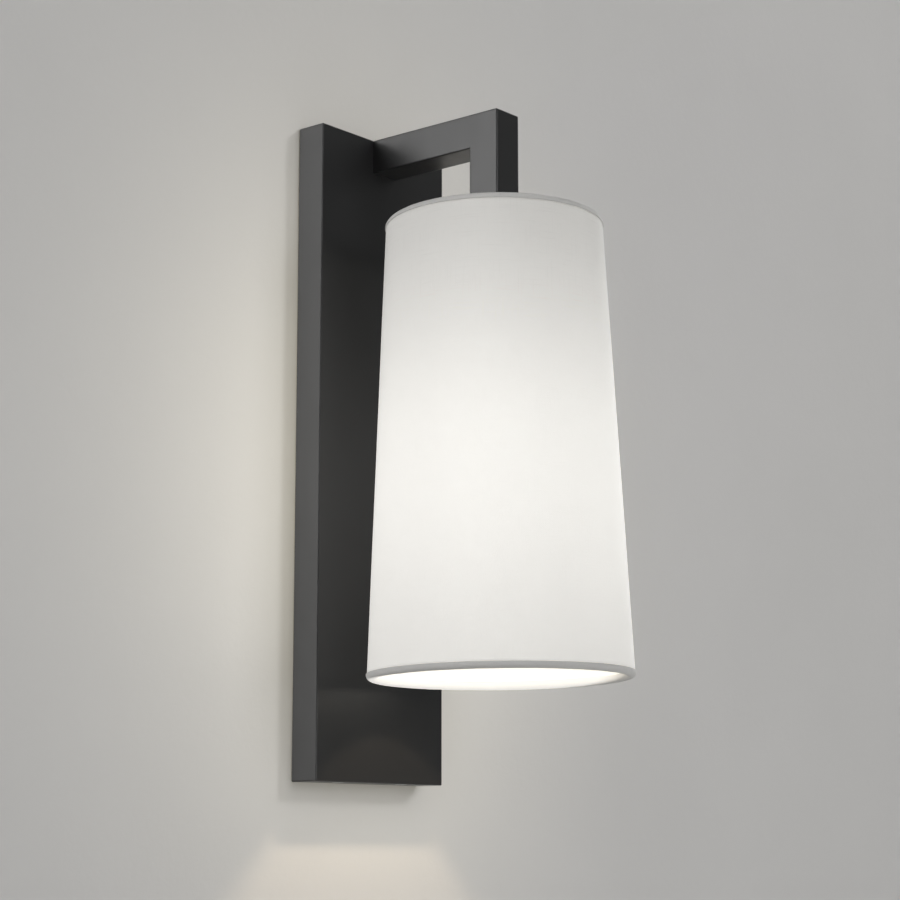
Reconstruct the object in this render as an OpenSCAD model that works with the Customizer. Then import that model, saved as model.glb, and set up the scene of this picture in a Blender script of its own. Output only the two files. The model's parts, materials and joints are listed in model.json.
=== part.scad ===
// Wall lamp: a box-shaped back cover, a square-tube arm with a mitred corner and a tapered fabric shade.
// Millimetres. X runs to the right, Y into the wall and Z up.
// The origin lies on the wall, midway between the two wall screws.

/* [Back cover] */
// Width of the back cover
cover_w = 80; // [76:1:100]
// Height of the back cover
cover_h = 280; // [262:1:340]
// Depth of the back cover, from its rim to its face
cover_d = 14; // [13.5:0.1:18]
// Thickness of the cover's sheet steel
sheet_t = 1.2; // [1:0.1:1.5]
// Gap between the cover's rim and the wall
rim_gap = 0.3; // [0.1:0.1:0.8]

/* [Wall bracket] */
// Width of the wall bracket
bracket_w = 60; // [54:1:66]
// Thickness of the wall bracket
bracket_t = 1.5; // [1.2:0.1:2]
// Distance between the two wall screws
screw_spacing = 200; // [160:5:220]
// Diameter of each wall screw hole
screw_hole_d = 5; // [4:0.5:6]
// Diameter of the hole for the supply cable
entry_d = 20; // [14:1:24]
// Width of each bent ear
ear_w = 14; // [10:1:16]
// How far the ears stand out from the wall
ear_reach = 10.5; // [9:0.1:11]
// Distance of each ear's middle from the lamp's middle plane
ear_x = 20; // [17:0.5:22]

/* [Arm] */
// Side of the square tube
bar_w = 15; // [14.5:0.5:20]
// Wall of the square tube
bar_wall = 1.5; // [1.2:0.1:1.7]
// Reach of the arm, from the cover's face to the front of the leg
arm_reach = 69.5; // [66:0.5:90]
// Length of the leg, from the top of the arm to its lower end
leg_len = 52; // [46:1:80]
// Length of the threaded plug in each end of the arm
plug_len = 12; // [8:1:16]

/* [Lampholder] */
// Outside diameter of the threaded skirt
skirt_d = 39; // [37:0.5:41]
// Length of the skirt below its flange
skirt_len = 31; // [29:0.5:34]
// Diameter of the flange that the shade carrier seats against
flange_d = 45; // [43:0.5:48]
// Thickness of the flange
flange_t = 4; // [3:0.5:6]
// Height of the domed cap above the flange
cap_h = 18; // [16:0.5:24]
// Pitch of the thread on the skirt
ring_pitch = 2.5; // [2:0.5:4]
// Height of the threaded ring that holds the shade
ring_h = 11; // [8:0.5:14]

/* [Shade] */
// Diameter of the shade at its top edge
shade_top_d = 91; // [88:1:102]
// Diameter of the shade at its bottom edge
shade_bottom_d = 109; // [104:1:116]
// Height of the shade
shade_h = 192; // [170:1:240]
// Depth of the carrier's ring below the shade's top edge
carrier_drop = 29.5; // [16:0.5:40]
// Thickness of the shade fabric
fabric_t = 0.5; // [0.3:0.1:0.8]
// Thickness of the stiff lining behind the fabric
liner_t = 0.5; // [0.3:0.1:0.8]
// Diameter of the carrier's spokes and of the wire in both edges
wire_d = 2.5; // [2:0.1:3]
// Thickness of the fabric rolled over each edge
hem_t = 0.4; // [0.3:0.1:0.6]
// Width of the lapped seam on the shade's wall side
seam_w = 9; // [6:1:14]
// Lean of the shade in degrees, its bottom away from the wall
shade_tilt = 0.8; // [0:0.1:1.5]

/* [Bulb] */
// Diameter of the bulb's globe
globe_d = 60; // [50:1:66]
// Length of the bulb from its contact to the globe's end
bulb_len = 105.5; // [100:0.5:118]

/* [Hidden] */
$fn = 64;

// Clearance between a screw, plug or nipple and its hole
fit_gap = 0.05;
// Clearance between pieces that seat on each other but come apart
seat_gap = 0.05;
// What a cutting solid runs past the solid it cuts
past = 1;

// Back cover: planes across Y and Z
cover_back_y = -rim_gap;
cover_face_y = -rim_gap - cover_d;
cover_inner_y = cover_face_y + sheet_t;
cover_top_z = cover_h / 2;
cover_inner_z = cover_h / 2 - sheet_t;

// Set screws, turned up in clinch nuts until they press on the bracket's bottom ears
set_screw_r = 2;
set_screw_recess = 0.5;
set_screw_reach = 0.9;
hex_key_af = 2;
hex_key_depth = 1.8;
clinch_collar_r = 2.6;
clinch_r = 3.6;
clinch_h = 2.4;
clinch_wall_gap = 1.6;
clinch_top_z = -cover_inner_z + clinch_h;
set_screw_low_z = -cover_top_z + set_screw_recess;
set_screw_top_z = clinch_top_z + set_screw_reach;
set_screw_y = cover_inner_y + clinch_r + clinch_wall_gap;

// Wall bracket
ear_top_z = cover_inner_z - seat_gap;
ear_low_z = set_screw_top_z + seat_gap;
earth_stud_r = 2;
earth_stud_len = 7;
earth_nut_af = 7;
earth_nut_h = 3.2;
earth_washer_r = 4;
earth_washer_t = 0.8;
bracket_earth_x = 18;
bracket_earth_z = -30;

// Arm and leg
bar_in = bar_w - 2 * bar_wall;
arm_z = cover_top_z - bar_w / 2;
leg_front_y = cover_face_y - arm_reach;
leg_y = leg_front_y + bar_w / 2;
leg_end_z = cover_top_z - leg_len;
plug_w = bar_in - 2 * fit_gap;
arm_plug_y = cover_face_y - plug_len;
leg_plug_z = leg_end_z + plug_len;

// Hollow nipple, nut, toothed washer and pin that fasten the arm to the cover
arm_nipple_r = 4;
arm_nipple_bore_r = 2.8;
arm_nut_af = 12;
arm_nut_h = 3;
arm_washer_r = 6.1;
arm_washer_t = 0.8;
tooth_len = 1.5;
tooth_w = 1.2;
tooth_n = 12;
nipple_set_in = 1;
nipple_proud = 0.8;
arm_nut_y = cover_inner_y + arm_washer_t + seat_gap;
arm_nipple_back_y = arm_nut_y + arm_nut_h + nipple_proud;
arm_pin_r = 0.7;
arm_pin_len = 10;
arm_pin_off = bar_in / 2 - 1.6;

// Terminal block on the inside of the cover, with three poles
block_drop = 80;
block_w = 28;
block_h = 16;
block_d = 9;
block_z = cover_top_z - block_drop;
block_top_y = cover_inner_y + block_d;
pole_gap = 8.2;
pole_r = 2;
pole_len = 13;
pole_y = cover_inner_y + 4;
pole_groove_w = 1.2;
pole_groove_d = 2;
clamp_bore_r = 1.2;
clamp_screw_r = 1.1;
clamp_screw_z = 3.8;
clamp_screw_proud = 1.6;
clamp_access_gap = 0.5;
slot_w = 0.4;
slot_d = 0.6;
block_stud_r = 1.5;
block_nut_af = 5.5;
block_nut_h = 2.4;

// Earth stud on the inside of the cover, and the crimped lug on it
cover_earth_x = 22;
cover_earth_drop = 32;
cover_earth_z = block_z - cover_earth_drop;
lug_r = 4.2;
lug_t = 0.8;
lug_neck_w = 3;
lug_neck = 0.6;
barrel_r = 1.9;
barrel_len = 6;
barrel_end_t = 1;
barrel_y = cover_inner_y + lug_t / 2 + barrel_r;
barrel_low_z = cover_earth_z + lug_r + lug_neck;
barrel_top_z = barrel_low_z + barrel_len;
lug_washer_y = cover_inner_y + lug_t + seat_gap;

// Lampholder, from the end of the leg down
holder_nipple_r = 5;
holder_nipple_bore_r = 3.5;
holder_nut_af = 14;
holder_nut_h = 3;
cap_wall = 1.8;
cap_boss_r = 8.5;
cap_boss_h = 2;
cap_dome_r = 8;
cap_lip = 1;
core_sink = 6;
core_r = 16.5;
core_h = 9;
thread_depth = 0.6;
thread_lead = 2.5;
socket_crest_r = 14.2;
socket_root_r = 13.35;
socket_lead = 2;
cap_top_z = leg_end_z - holder_nut_h;
cap_boss_z = cap_top_z - cap_wall - cap_boss_h;
flange_top_z = cap_top_z - cap_h;
flange_low_z = flange_top_z - flange_t;
skirt_r = skirt_d / 2;
skirt_end_z = flange_low_z - skirt_len;
core_seat_z = flange_low_z - core_sink;
core_top_z = core_seat_z + core_h;

// Contacts of the lampholder and the screws that clamp the wires on them
contact_t = 0.5;
contact_w = 6;
contact_dip = 2;
contact_button_r = 3.4;
contact_x = socket_root_r - 0.15;
contact_slot = 0.2;
tab_x = 5;
tab_low_z = core_top_z - 1;
tab_top_z = tab_low_z + contact_t;
holder_screw_x = 9;
holder_screw_r = 1.5;
holder_screw_sink = 4;
holder_head_r = 2.8;
holder_head_h = 2;
holder_slot_w = 0.6;
holder_slot_d = 0.8;
well_x = 4.5;
well_floor = 3;

// Threaded ring and shade carrier
fitter_t = 1.5;
fitter_in_r = skirt_r + 1;
fitter_out_r = flange_d / 2 + 3.5;
fitter_top_z = flange_low_z - seat_gap;
spoke_n = 3;
spoke_inset = 1;
ring_top_z = fitter_top_z - fitter_t - seat_gap;
ring_low_z = ring_top_z - ring_h;
ring_in_r = skirt_r + 0.1;
ring_hub_r = skirt_r + 3;
ring_flange_r = fitter_out_r + 1;
ring_flange_t = 2.4;
rib_n = 36;
rib_w = 1;
rib_proud = 0.8;
rib_rise = 1;

// Shade: a wall that leans outwards on its way down, with a wire and a rolled hem along each edge
shade_top_r = shade_top_d / 2;
shade_bottom_r = shade_bottom_d / 2;
shade_top_z = fitter_top_z + carrier_drop;
shade_bottom_z = shade_top_z - shade_h;
wall_slope = atan((shade_bottom_r - shade_top_r) / shade_h);
laminate_t = fabric_t + liner_t;
wire_r = wire_d / 2;
wire_x = -laminate_t - fit_gap - wire_r;
notch_short = 0.5;
hem_in_r = (laminate_t + wire_d + 3 * fit_gap) / 2;
hem_r = hem_in_r + hem_t;
hem_x = fit_gap - hem_in_r;
hem_flap = 1.4;
hem_bite = 0.3;
low_edge_z = shade_bottom_z + hem_r;
top_edge_z = shade_top_z - hem_r;
wall_len = (top_edge_z - low_edge_z) / cos(wall_slope);

// Bulb, with the tip of its contact just under the centre contact
bulb_contact_r = 4.6;
bulb_contact_h = 1;
insulator_h = 3;
insulator_tip_r = 5.2;
shell_h = 21;
shell_crest_r = 13.1;
shell_root_r = 12.2;
shell_mouth_r = 8;
shell_wall = 0.5;
shell_pitch = 3.63;
shell_turns = 5;
shell_lead = 1.5;
globe_wall = 1.2;
globe_cut = 0.4;
collar_r = 13.8;
collar_wall = 1.6;
collar_shoulder_h = 3;
collar_shoulder = 0.6;
collar_ledge = 2;
led_board_t = 1.6;
led_board_drop = 0.4;
led_board_gap = 0.3;
led_n = 10;
led_size = [2.8, 3.5, 0.8];
driver_w = 15;
driver_t = 1.6;
driver_stop = 3;
coil_r = 3.8;
coil_h = 12;
chip_size = [8, 6.5, 8];
driver_foot = 5;
bulb_top_z = core_seat_z - contact_dip - seat_gap;
shell_top_z = bulb_top_z - bulb_contact_h - insulator_h;
shell_end_z = shell_top_z - shell_h;
globe_r = globe_d / 2;
globe_z = bulb_top_z - bulb_len + globe_r;
globe_cut_z = globe_z + globe_r * globe_cut;
globe_cut_r = globe_r * sqrt(1 - globe_cut * globe_cut);
led_board_top_z = globe_cut_z + led_board_drop + led_board_t;
contact_reach = 5.5;
contact_low_z = shell_top_z - contact_reach;

// Wires: a smooth curve runs through the points of each route
core_r_out = 1.1;
wire_sides = 8;
wire_steps = 2;
pair_x = 1.35;
block_lead = 8;
core_lead_rise = 13;
core_spread_rise = 26;
core_gather_drop = 24;
core_pair_drop = 12;
core_bend_start = 12;
core_bend_drop = 10;
core_fan_rise = 9;
core_dip_rise = 5;
core_dip_y = 5.5;
earth_lead_drop = 12;
earth_turn_drop = 16;
earth_low_drop = 18;
earth_low_x = 8;
earth_turn_x = 15;
lift_y = cover_back_y - 4.2;
lug_up_z = barrel_top_z + 3.5;
clamp_x = holder_screw_x - holder_screw_r - core_r_out - fit_gap;
clamp_z = tab_top_z + core_r_out + fit_gap;
// Route of the live core, at side -1, or the neutral core, at side 1, from terminal block to lampholder
function core_route(side) = [
    [side * pole_gap, pole_y, block_z + 2],
    [side * pole_gap, pole_y, block_z + block_lead],
    [side * pole_gap, pole_y, block_z + core_lead_rise],
    [side * 7, pole_y + 2, block_z + core_spread_rise],
    [side * 3, lift_y, arm_z - core_gather_drop],
    [side * pair_x, lift_y, arm_z - core_pair_drop],
    [side * pair_x, lift_y, arm_z - 4],
    [side * pair_x, lift_y - 1.2, arm_z - 1],
    [side * pair_x, lift_y - 4, arm_z],
    [side * pair_x, arm_plug_y, arm_z],
    [side * pair_x, leg_y + core_bend_start, arm_z],
    [side * pair_x, leg_y + 5, arm_z - 0.8],
    [side * pair_x, leg_y + 1, arm_z - 4],
    [side * pair_x, leg_y, arm_z - core_bend_drop],
    [side * pair_x, leg_y, leg_end_z],
    [side * pair_x, leg_y, cap_boss_z - 1],
    [side * 3, leg_y - 2.5, core_top_z + core_fan_rise],
    [side * 6, leg_y - core_dip_y, core_top_z + core_dip_rise],
    [side * clamp_x, leg_y - core_dip_y, clamp_z + 1.6],
    [side * clamp_x, leg_y - 3.2, clamp_z + 0.1],
    [side * clamp_x, leg_y + 1.8, clamp_z]
];
// Route of the earth core, from terminal block to lug
earth_route = [
    [0, pole_y, block_z - 2],
    [0, pole_y, block_z - block_lead],
    [0, pole_y, block_z - earth_lead_drop],
    [2.5, pole_y - 0.4, block_z - earth_turn_drop],
    [earth_low_x, pole_y - 1, block_z - earth_low_drop],
    [earth_turn_x, barrel_y, block_z - earth_turn_drop],
    [cover_earth_x - 2, barrel_y, lug_up_z + 4],
    [cover_earth_x, barrel_y, lug_up_z],
    [cover_earth_x, barrel_y, barrel_top_z - 1],
    [cover_earth_x, barrel_y, barrel_low_z + barrel_end_t + 0.2]
];

// A box centred on X, between two limits along Y and along Z
module slab(width, y0, y1, z0, z1) {
    translate([-width / 2, y0, z0])
        cube([width, y1 - y0, z1 - z0]);
}

// A cylinder along Y, between two limits
module rod_y(r, y0, y1, x = 0, z = 0) {
    translate([x, y1, z])
        rotate([90, 0, 0])
            cylinder(r = r, h = y1 - y0);
}

// A cylinder along Z, between two limits
module rod_z(r, z0, z1, x = 0, y = 0) {
    translate([x, y, z0])
        cylinder(r = r, h = z1 - z0);
}

// A hexagonal nut along Z, by its width across flats
module nut_z(af, bore_r, z0, z1) {
    difference() {
        translate([0, 0, z0])
            rotate([0, 0, 30])
                cylinder(d = af / cos(30), h = z1 - z0, $fn = 6);
        rod_z(bore_r, z0 - past, z1 + past);
    }
}

// A hexagonal nut along Y, by its width across flats
module nut_y(af, bore_r, y0, y1, x = 0, z = 0) {
    translate([x, y1, z])
        rotate([90, 0, 0])
            rotate([0, 0, 90])
                nut_z(af, bore_r, 0, y1 - y0);
}

// A plain washer along Y
module washer_y(r, bore_r, y0, y1, x = 0, z = 0) {
    difference() {
        rod_y(r, y0, y1, x, z);
        rod_y(bore_r, y0 - past, y1 + past, x, z);
    }
}

// Moves its children to the axis of the leg, the lampholder, the shade and the bulb
module on_leg_axis() {
    translate([0, leg_y, 0])
        children();
}

// Smooth curve through the points of a route, with a number of steps between two points
function between(a, b, c, d, t) =
    (2 * b + (c - a) * t + (2 * a - 5 * b + 4 * c - d) * t * t + (3 * b - a - 3 * c + d) * t * t * t) / 2;
function curve(p, steps) = [
    for (i = [0 : len(p) - 2])
        for (k = [0 : steps - 1])
            between(p[max(i - 1, 0)], p[i], p[i + 1], p[min(i + 2, len(p) - 1)], k / steps),
    p[len(p) - 1]
];
function unit(v) = v / norm(v);
function heading(p, i) = unit(p[min(i + 1, len(p) - 1)] - p[max(i - 1, 0)]);

// A round tube along a route; "side" is a direction that the route never takes
module sweep(route, r, side) {
    p = curve(route, wire_steps);
    n = wire_sides;
    last = len(p) - 1;
    points = [
        for (i = [0 : last])
            let (t = heading(p, i), u = unit(cross(side, t)), v = cross(t, u))
                for (k = [0 : n - 1])
                    p[i] + r * (cos(360 * k / n) * u + sin(360 * k / n) * v)
    ];
    walls = [
        for (i = [0 : last - 1])
            for (k = [0 : n - 1])
                let (a = i * n + k, b = i * n + (k + 1) % n)
                    each [[a, a + n, b], [b, a + n, b + n]]
    ];
    ends = [
        for (k = [1 : n - 2])
            each [[0, k, k + 1], [last * n, last * n + k + 1, last * n + k]]
    ];
    polyhedron(points = points, faces = concat(walls, ends));
}

// Steel strap on the wall; its top ears carry the cover and its bottom ears lock it
module wall_bracket() {
    color("silver")
        difference() {
            union() {
                slab(bracket_w, -bracket_t, 0, ear_low_z, ear_top_z);
                for (side = [-1, 1])
                    translate([side * ear_x, 0, 0]) {
                        slab(ear_w, -ear_reach, 0, ear_top_z - bracket_t, ear_top_z);
                        slab(ear_w, -ear_reach, 0, ear_low_z, ear_low_z + bracket_t);
                    }
            }
            for (side = [-1, 1])
                rod_y(screw_hole_d / 2, -bracket_t - past, past, 0, side * screw_spacing / 2);
            rod_y(entry_d / 2, -bracket_t - past, past);
            rod_y(earth_stud_r + fit_gap, -bracket_t - past, past, bracket_earth_x, bracket_earth_z);
        }
}

// Stud, swaged in the bracket, that takes the supply's earth wire
module bracket_earth_stud() {
    color("goldenrod")
        rod_y(earth_stud_r, -bracket_t - earth_stud_len, 0, bracket_earth_x, bracket_earth_z);
}

// Nut and washer on the bracket's earth stud
module bracket_earth_nut() {
    hole_r = earth_stud_r + fit_gap;
    washer_y = -bracket_t - earth_washer_t;
    color("goldenrod") {
        washer_y(earth_washer_r, hole_r, washer_y, -bracket_t, bracket_earth_x, bracket_earth_z);
        nut_y(earth_nut_af, hole_r, washer_y - seat_gap - earth_nut_h, washer_y - seat_gap,
            bracket_earth_x, bracket_earth_z);
    }
}

// Tray of folded sheet, open towards the wall
module cover() {
    color("#232323")
        difference() {
            slab(cover_w, cover_face_y, cover_back_y, -cover_top_z, cover_top_z);
            slab(cover_w - 2 * sheet_t, cover_inner_y, cover_back_y + past, -cover_inner_z, cover_inner_z);
            rod_y(arm_nipple_r + fit_gap, cover_face_y - past, cover_inner_y + past, 0, arm_z);
            rod_y(arm_pin_r + fit_gap, cover_face_y - past, cover_inner_y + past, arm_pin_off, arm_z - arm_pin_off);
            for (side = [-1, 1])
                rod_z(clinch_collar_r + fit_gap, -cover_top_z - past, -cover_inner_z + past,
                    side * ear_x, set_screw_y);
        }
}

// Threaded nuts pressed into the cover's bottom wall
module clinch_nuts() {
    color("silver")
        for (side = [-1, 1])
            translate([side * ear_x, set_screw_y, 0])
                difference() {
                    union() {
                        rod_z(clinch_collar_r, -cover_top_z, clinch_top_z);
                        rod_z(clinch_r, -cover_inner_z, clinch_top_z);
                    }
                    rod_z(set_screw_r + fit_gap, -cover_top_z - past, clinch_top_z + past);
                }
}

// Socket set screws that lock the cover
module set_screws() {
    color("dimgray")
        for (side = [-1, 1])
            translate([side * ear_x, set_screw_y, 0])
                difference() {
                    rod_z(set_screw_r, set_screw_low_z, set_screw_top_z);
                    translate([0, 0, set_screw_low_z - past])
                        cylinder(d = hex_key_af / cos(30), h = past + hex_key_depth, $fn = 6);
                }
}

// The bent bar as a solid, "inset" smaller on every side
module bent_bar(inset) {
    width = bar_w - 2 * inset;
    slab(width, leg_front_y + inset, cover_face_y, cover_top_z - bar_w + inset, cover_top_z - inset);
    slab(width, leg_front_y + inset, leg_front_y + bar_w - inset, leg_end_z, cover_top_z - inset);
}

// Everything on the wall's side of the mitre
module behind_mitre() {
    rotate([90, 0, 90])
        translate([0, 0, -bar_w])
            linear_extrude(2 * bar_w)
                polygon([
                    [leg_front_y - bar_w, cover_top_z + bar_w],
                    [cover_face_y + past, cover_top_z + bar_w],
                    [cover_face_y + past, cover_top_z - 2 * bar_w],
                    [leg_front_y + 2 * bar_w, cover_top_z - 2 * bar_w]
                ]);
}

// Square tube from the cover to the mitre
module arm_tube() {
    color("#2a2a2a")
        difference() {
            intersection() {
                bent_bar(0);
                behind_mitre();
            }
            bent_bar(bar_wall);
            slab(bar_in, cover_face_y - past, cover_face_y + past, arm_z - bar_in / 2, arm_z + bar_in / 2);
        }
}

// Square tube from the mitre down to the lampholder
module leg_tube() {
    color("#2a2a2a")
        difference() {
            bent_bar(0);
            behind_mitre();
            bent_bar(bar_wall);
            slab(bar_in, leg_y - bar_in / 2, leg_y + bar_in / 2, leg_end_z - past, leg_end_z + past);
        }
}

// Threaded plug brazed in the arm's wall end
module arm_plug() {
    color("silver")
        difference() {
            slab(plug_w, arm_plug_y, cover_face_y, arm_z - plug_w / 2, arm_z + plug_w / 2);
            rod_y(arm_nipple_r + fit_gap, arm_plug_y - past, cover_face_y + past, 0, arm_z);
            rod_y(arm_pin_r + fit_gap, arm_plug_y - past, cover_face_y + past, arm_pin_off, arm_z - arm_pin_off);
        }
}

// Threaded plug brazed in the leg's lower end
module leg_plug() {
    color("silver")
        on_leg_axis()
            difference() {
                slab(plug_w, -plug_w / 2, plug_w / 2, leg_end_z, leg_plug_z);
                rod_z(holder_nipple_r + fit_gap, leg_end_z - past, leg_plug_z + past);
            }
}

// Hollow threaded nipple that the wires pass through into the arm
module arm_nipple() {
    front_y = arm_plug_y + nipple_set_in;
    color("goldenrod")
        difference() {
            rod_y(arm_nipple_r, front_y, arm_nipple_back_y, 0, arm_z);
            rod_y(arm_nipple_bore_r, front_y - past, arm_nipple_back_y + past, 0, arm_z);
        }
}

// Shakeproof washer with teeth around its rim
module arm_lock_washer() {
    color("silver")
        difference() {
            union() {
                rod_y(arm_washer_r - tooth_len / 2, cover_inner_y, cover_inner_y + arm_washer_t, 0, arm_z);
                for (i = [0 : tooth_n - 1])
                    translate([0, 0, arm_z])
                        rotate([0, 360 * i / tooth_n, 0])
                            translate([arm_washer_r - tooth_len, cover_inner_y, -tooth_w / 2])
                                cube([tooth_len, arm_washer_t, tooth_w]);
            }
            rod_y(arm_nipple_r + fit_gap, cover_inner_y - past, cover_inner_y + arm_washer_t + past, 0, arm_z);
        }
}

// Nut that clamps the arm to the cover
module arm_nut() {
    color("goldenrod")
        nut_y(arm_nut_af, arm_nipple_r + fit_gap, arm_nut_y, arm_nut_y + arm_nut_h, 0, arm_z);
}

// Pin that keeps the arm from turning on the cover
module arm_pin() {
    color("silver")
        rod_y(arm_pin_r, cover_inner_y - arm_pin_len, cover_inner_y, arm_pin_off, arm_z - arm_pin_off);
}

// Moulded body of the terminal block
module terminal_block() {
    low_z = block_z - block_h / 2;
    top_z = block_z + block_h / 2;
    color("ivory")
        difference() {
            slab(block_w, cover_inner_y, block_top_y, low_z, top_z);
            for (pole = [-1 : 1]) {
                rod_z(pole_r + fit_gap, low_z - past, top_z + past, pole * pole_gap, pole_y);
                for (end = [-1, 1])
                    rod_y(clamp_screw_r + clamp_access_gap, pole_y, block_top_y + past,
                        pole * pole_gap, block_z + end * clamp_screw_z);
            }
            for (side = [-1, 1])
                translate([side * pole_gap / 2, 0, 0]) {
                    rod_y(block_stud_r + fit_gap, cover_inner_y - past, block_top_y + past, 0, block_z);
                    slab(pole_groove_w, block_top_y - pole_groove_d, block_top_y + past, low_z - past, top_z + past);
                }
        }
}

// Brass clamp tube of each pole
module terminal_clamps() {
    color("goldenrod")
        for (pole = [-1 : 1])
            translate([pole * pole_gap, pole_y, block_z])
                difference() {
                    rod_z(pole_r, -pole_len / 2, pole_len / 2);
                    rod_z(clamp_bore_r, -pole_len / 2 - past, pole_len / 2 + past);
                    for (end = [-1, 1])
                        rod_y(clamp_screw_r + fit_gap, 0, pole_r + past, 0, end * clamp_screw_z);
                }
}

// Slotted screws that press the wires into the clamp tubes
module terminal_screws() {
    low_y = pole_y + core_r_out + fit_gap;
    top_y = pole_y + pole_r + clamp_screw_proud;
    color("silver")
        for (pole = [-1 : 1], end = [-1, 1])
            translate([pole * pole_gap, 0, block_z + end * clamp_screw_z])
                difference() {
                    rod_y(clamp_screw_r, low_y, top_y);
                    slab(slot_w, top_y - slot_d, top_y + past, -clamp_screw_r - past, clamp_screw_r + past);
                }
}

// Studs welded inside the cover that hold the terminal block
module terminal_block_studs() {
    color("silver")
        for (side = [-1, 1])
            rod_y(block_stud_r, cover_inner_y, block_top_y + block_nut_h, side * pole_gap / 2, block_z);
}

// Nuts on the terminal block's studs
module terminal_block_nuts() {
    color("silver")
        for (side = [-1, 1])
            nut_y(block_nut_af, block_stud_r + fit_gap, block_top_y, block_top_y + block_nut_h,
                side * pole_gap / 2, block_z);
}

// Stud welded inside the cover for the lamp's own earth
module cover_earth_stud() {
    color("silver")
        rod_y(earth_stud_r, cover_inner_y, cover_inner_y + earth_stud_len, cover_earth_x, cover_earth_z);
}

// Nut and washer that clamp the lug
module cover_earth_nut() {
    hole_r = earth_stud_r + fit_gap;
    nut_low_y = lug_washer_y + earth_washer_t + seat_gap;
    color("goldenrod") {
        washer_y(earth_washer_r, hole_r, lug_washer_y, lug_washer_y + earth_washer_t, cover_earth_x, cover_earth_z);
        nut_y(earth_nut_af, hole_r, nut_low_y, nut_low_y + earth_nut_h, cover_earth_x, cover_earth_z);
    }
}

// Crimped lug on the end of the earth wire
module earth_ring_terminal() {
    back_y = cover_inner_y + lug_t;
    color("gold")
        translate([cover_earth_x, 0, 0])
            difference() {
                union() {
                    rod_y(lug_r, cover_inner_y, back_y, 0, cover_earth_z);
                    slab(lug_neck_w, cover_inner_y, back_y, cover_earth_z + lug_r / 2, barrel_top_z);
                    rod_z(barrel_r, barrel_low_z, barrel_top_z, 0, barrel_y);
                }
                rod_y(earth_stud_r + fit_gap, cover_inner_y - past, back_y + past, 0, cover_earth_z);
                rod_z(core_r_out + 2 * fit_gap, barrel_low_z + barrel_end_t, barrel_top_z + past, 0, barrel_y);
            }
}

module live_wire() {
    color("saddlebrown")
        sweep(core_route(-1), core_r_out, [1, 0, 0]);
}

module neutral_wire() {
    color("royalblue")
        sweep(core_route(1), core_r_out, [1, 0, 0]);
}

module earth_wire() {
    color("limegreen")
        sweep(earth_route, core_r_out, [0, 1, 0]);
}

// Locknut between the leg and the lampholder's cap
module holder_locknut() {
    color("goldenrod")
        on_leg_axis()
            nut_z(holder_nut_af, holder_nipple_r + fit_gap, cap_top_z + seat_gap, leg_end_z - seat_gap);
}

// Hollow threaded nipple that hangs the lampholder from the leg
module holder_nipple() {
    high_z = leg_plug_z - nipple_set_in;
    color("goldenrod")
        on_leg_axis()
            difference() {
                rod_z(holder_nipple_r, cap_boss_z, high_z);
                rod_z(holder_nipple_bore_r, cap_boss_z - past, high_z + past);
            }
}

// Half section of the domed cap, "inset" inside its outer surface and open to a height below it
module cap_section(inset, low_z) {
    shoulder_r = skirt_r + cap_lip - inset;
    shoulder_z = cap_top_z - cap_dome_r - inset;
    square_r = shoulder_r - cap_dome_r;
    translate([0, low_z])
        square([shoulder_r, shoulder_z - low_z]);
    translate([0, shoulder_z])
        square([square_r, cap_dome_r]);
    translate([square_r, shoulder_z])
        intersection() {
            circle(r = cap_dome_r);
            square(cap_dome_r);
        }
}

// Domed cap of the lampholder, with a threaded boss for the nipple
module holder_cap() {
    color("#1c1c1c")
        on_leg_axis()
            difference() {
                rotate_extrude()
                    difference() {
                        cap_section(0, flange_top_z);
                        difference() {
                            cap_section(cap_wall, flange_top_z - past);
                            translate([0, cap_boss_z])
                                square([cap_boss_r, cap_boss_h + past]);
                        }
                    }
                rod_z(holder_nipple_r + fit_gap, cap_boss_z - past, cap_top_z + past);
            }
}

// Outline of a cut thread from the top down: flat crests at radius r and roots "depth" below them
function cut_thread(r, depth, z0, z1, pitch) = [
    for (i = [0 : floor((z0 - z1) / pitch) - 1])
        each [
            [r, z0 - pitch * i],
            [r, z0 - pitch * (i + 0.4)],
            [r - depth, z0 - pitch * (i + 0.6)],
            [r - depth, z0 - pitch * (i + 0.8)]
        ]
];

// Outline of a round-form thread that starts at its root; "rise" is one turn's climb, negative on the way down
function round_thread(crest_r, root_r, z0, rise, turns) = [
    for (i = [0 : turns * 8])
        [(crest_r + root_r) / 2 - (crest_r - root_r) / 2 * cos(45 * i), z0 + rise * i / 8]
];

// Flanged, threaded skirt of the lampholder, with the round-form thread of its socket
module holder_body() {
    outline = concat(
        [[core_r, flange_top_z], [flange_d / 2, flange_top_z], [flange_d / 2, flange_low_z], [skirt_r, flange_low_z]],
        cut_thread(skirt_r, thread_depth, flange_low_z - thread_lead, skirt_end_z, ring_pitch),
        [[skirt_r - thread_depth, skirt_end_z], [socket_root_r, skirt_end_z]],
        round_thread(socket_crest_r, socket_root_r, skirt_end_z + socket_lead, shell_pitch, shell_turns),
        [[socket_root_r, core_seat_z], [core_r, core_seat_z]]
    );
    color("#1c1c1c")
        on_leg_axis()
            difference() {
                rotate_extrude()
                    polygon(outline);
                slab(2 * (contact_x + contact_t + contact_slot), -contact_w / 2 - contact_slot,
                    contact_w / 2 + contact_slot, contact_low_z - contact_slot, core_seat_z + past);
            }
}

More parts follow.
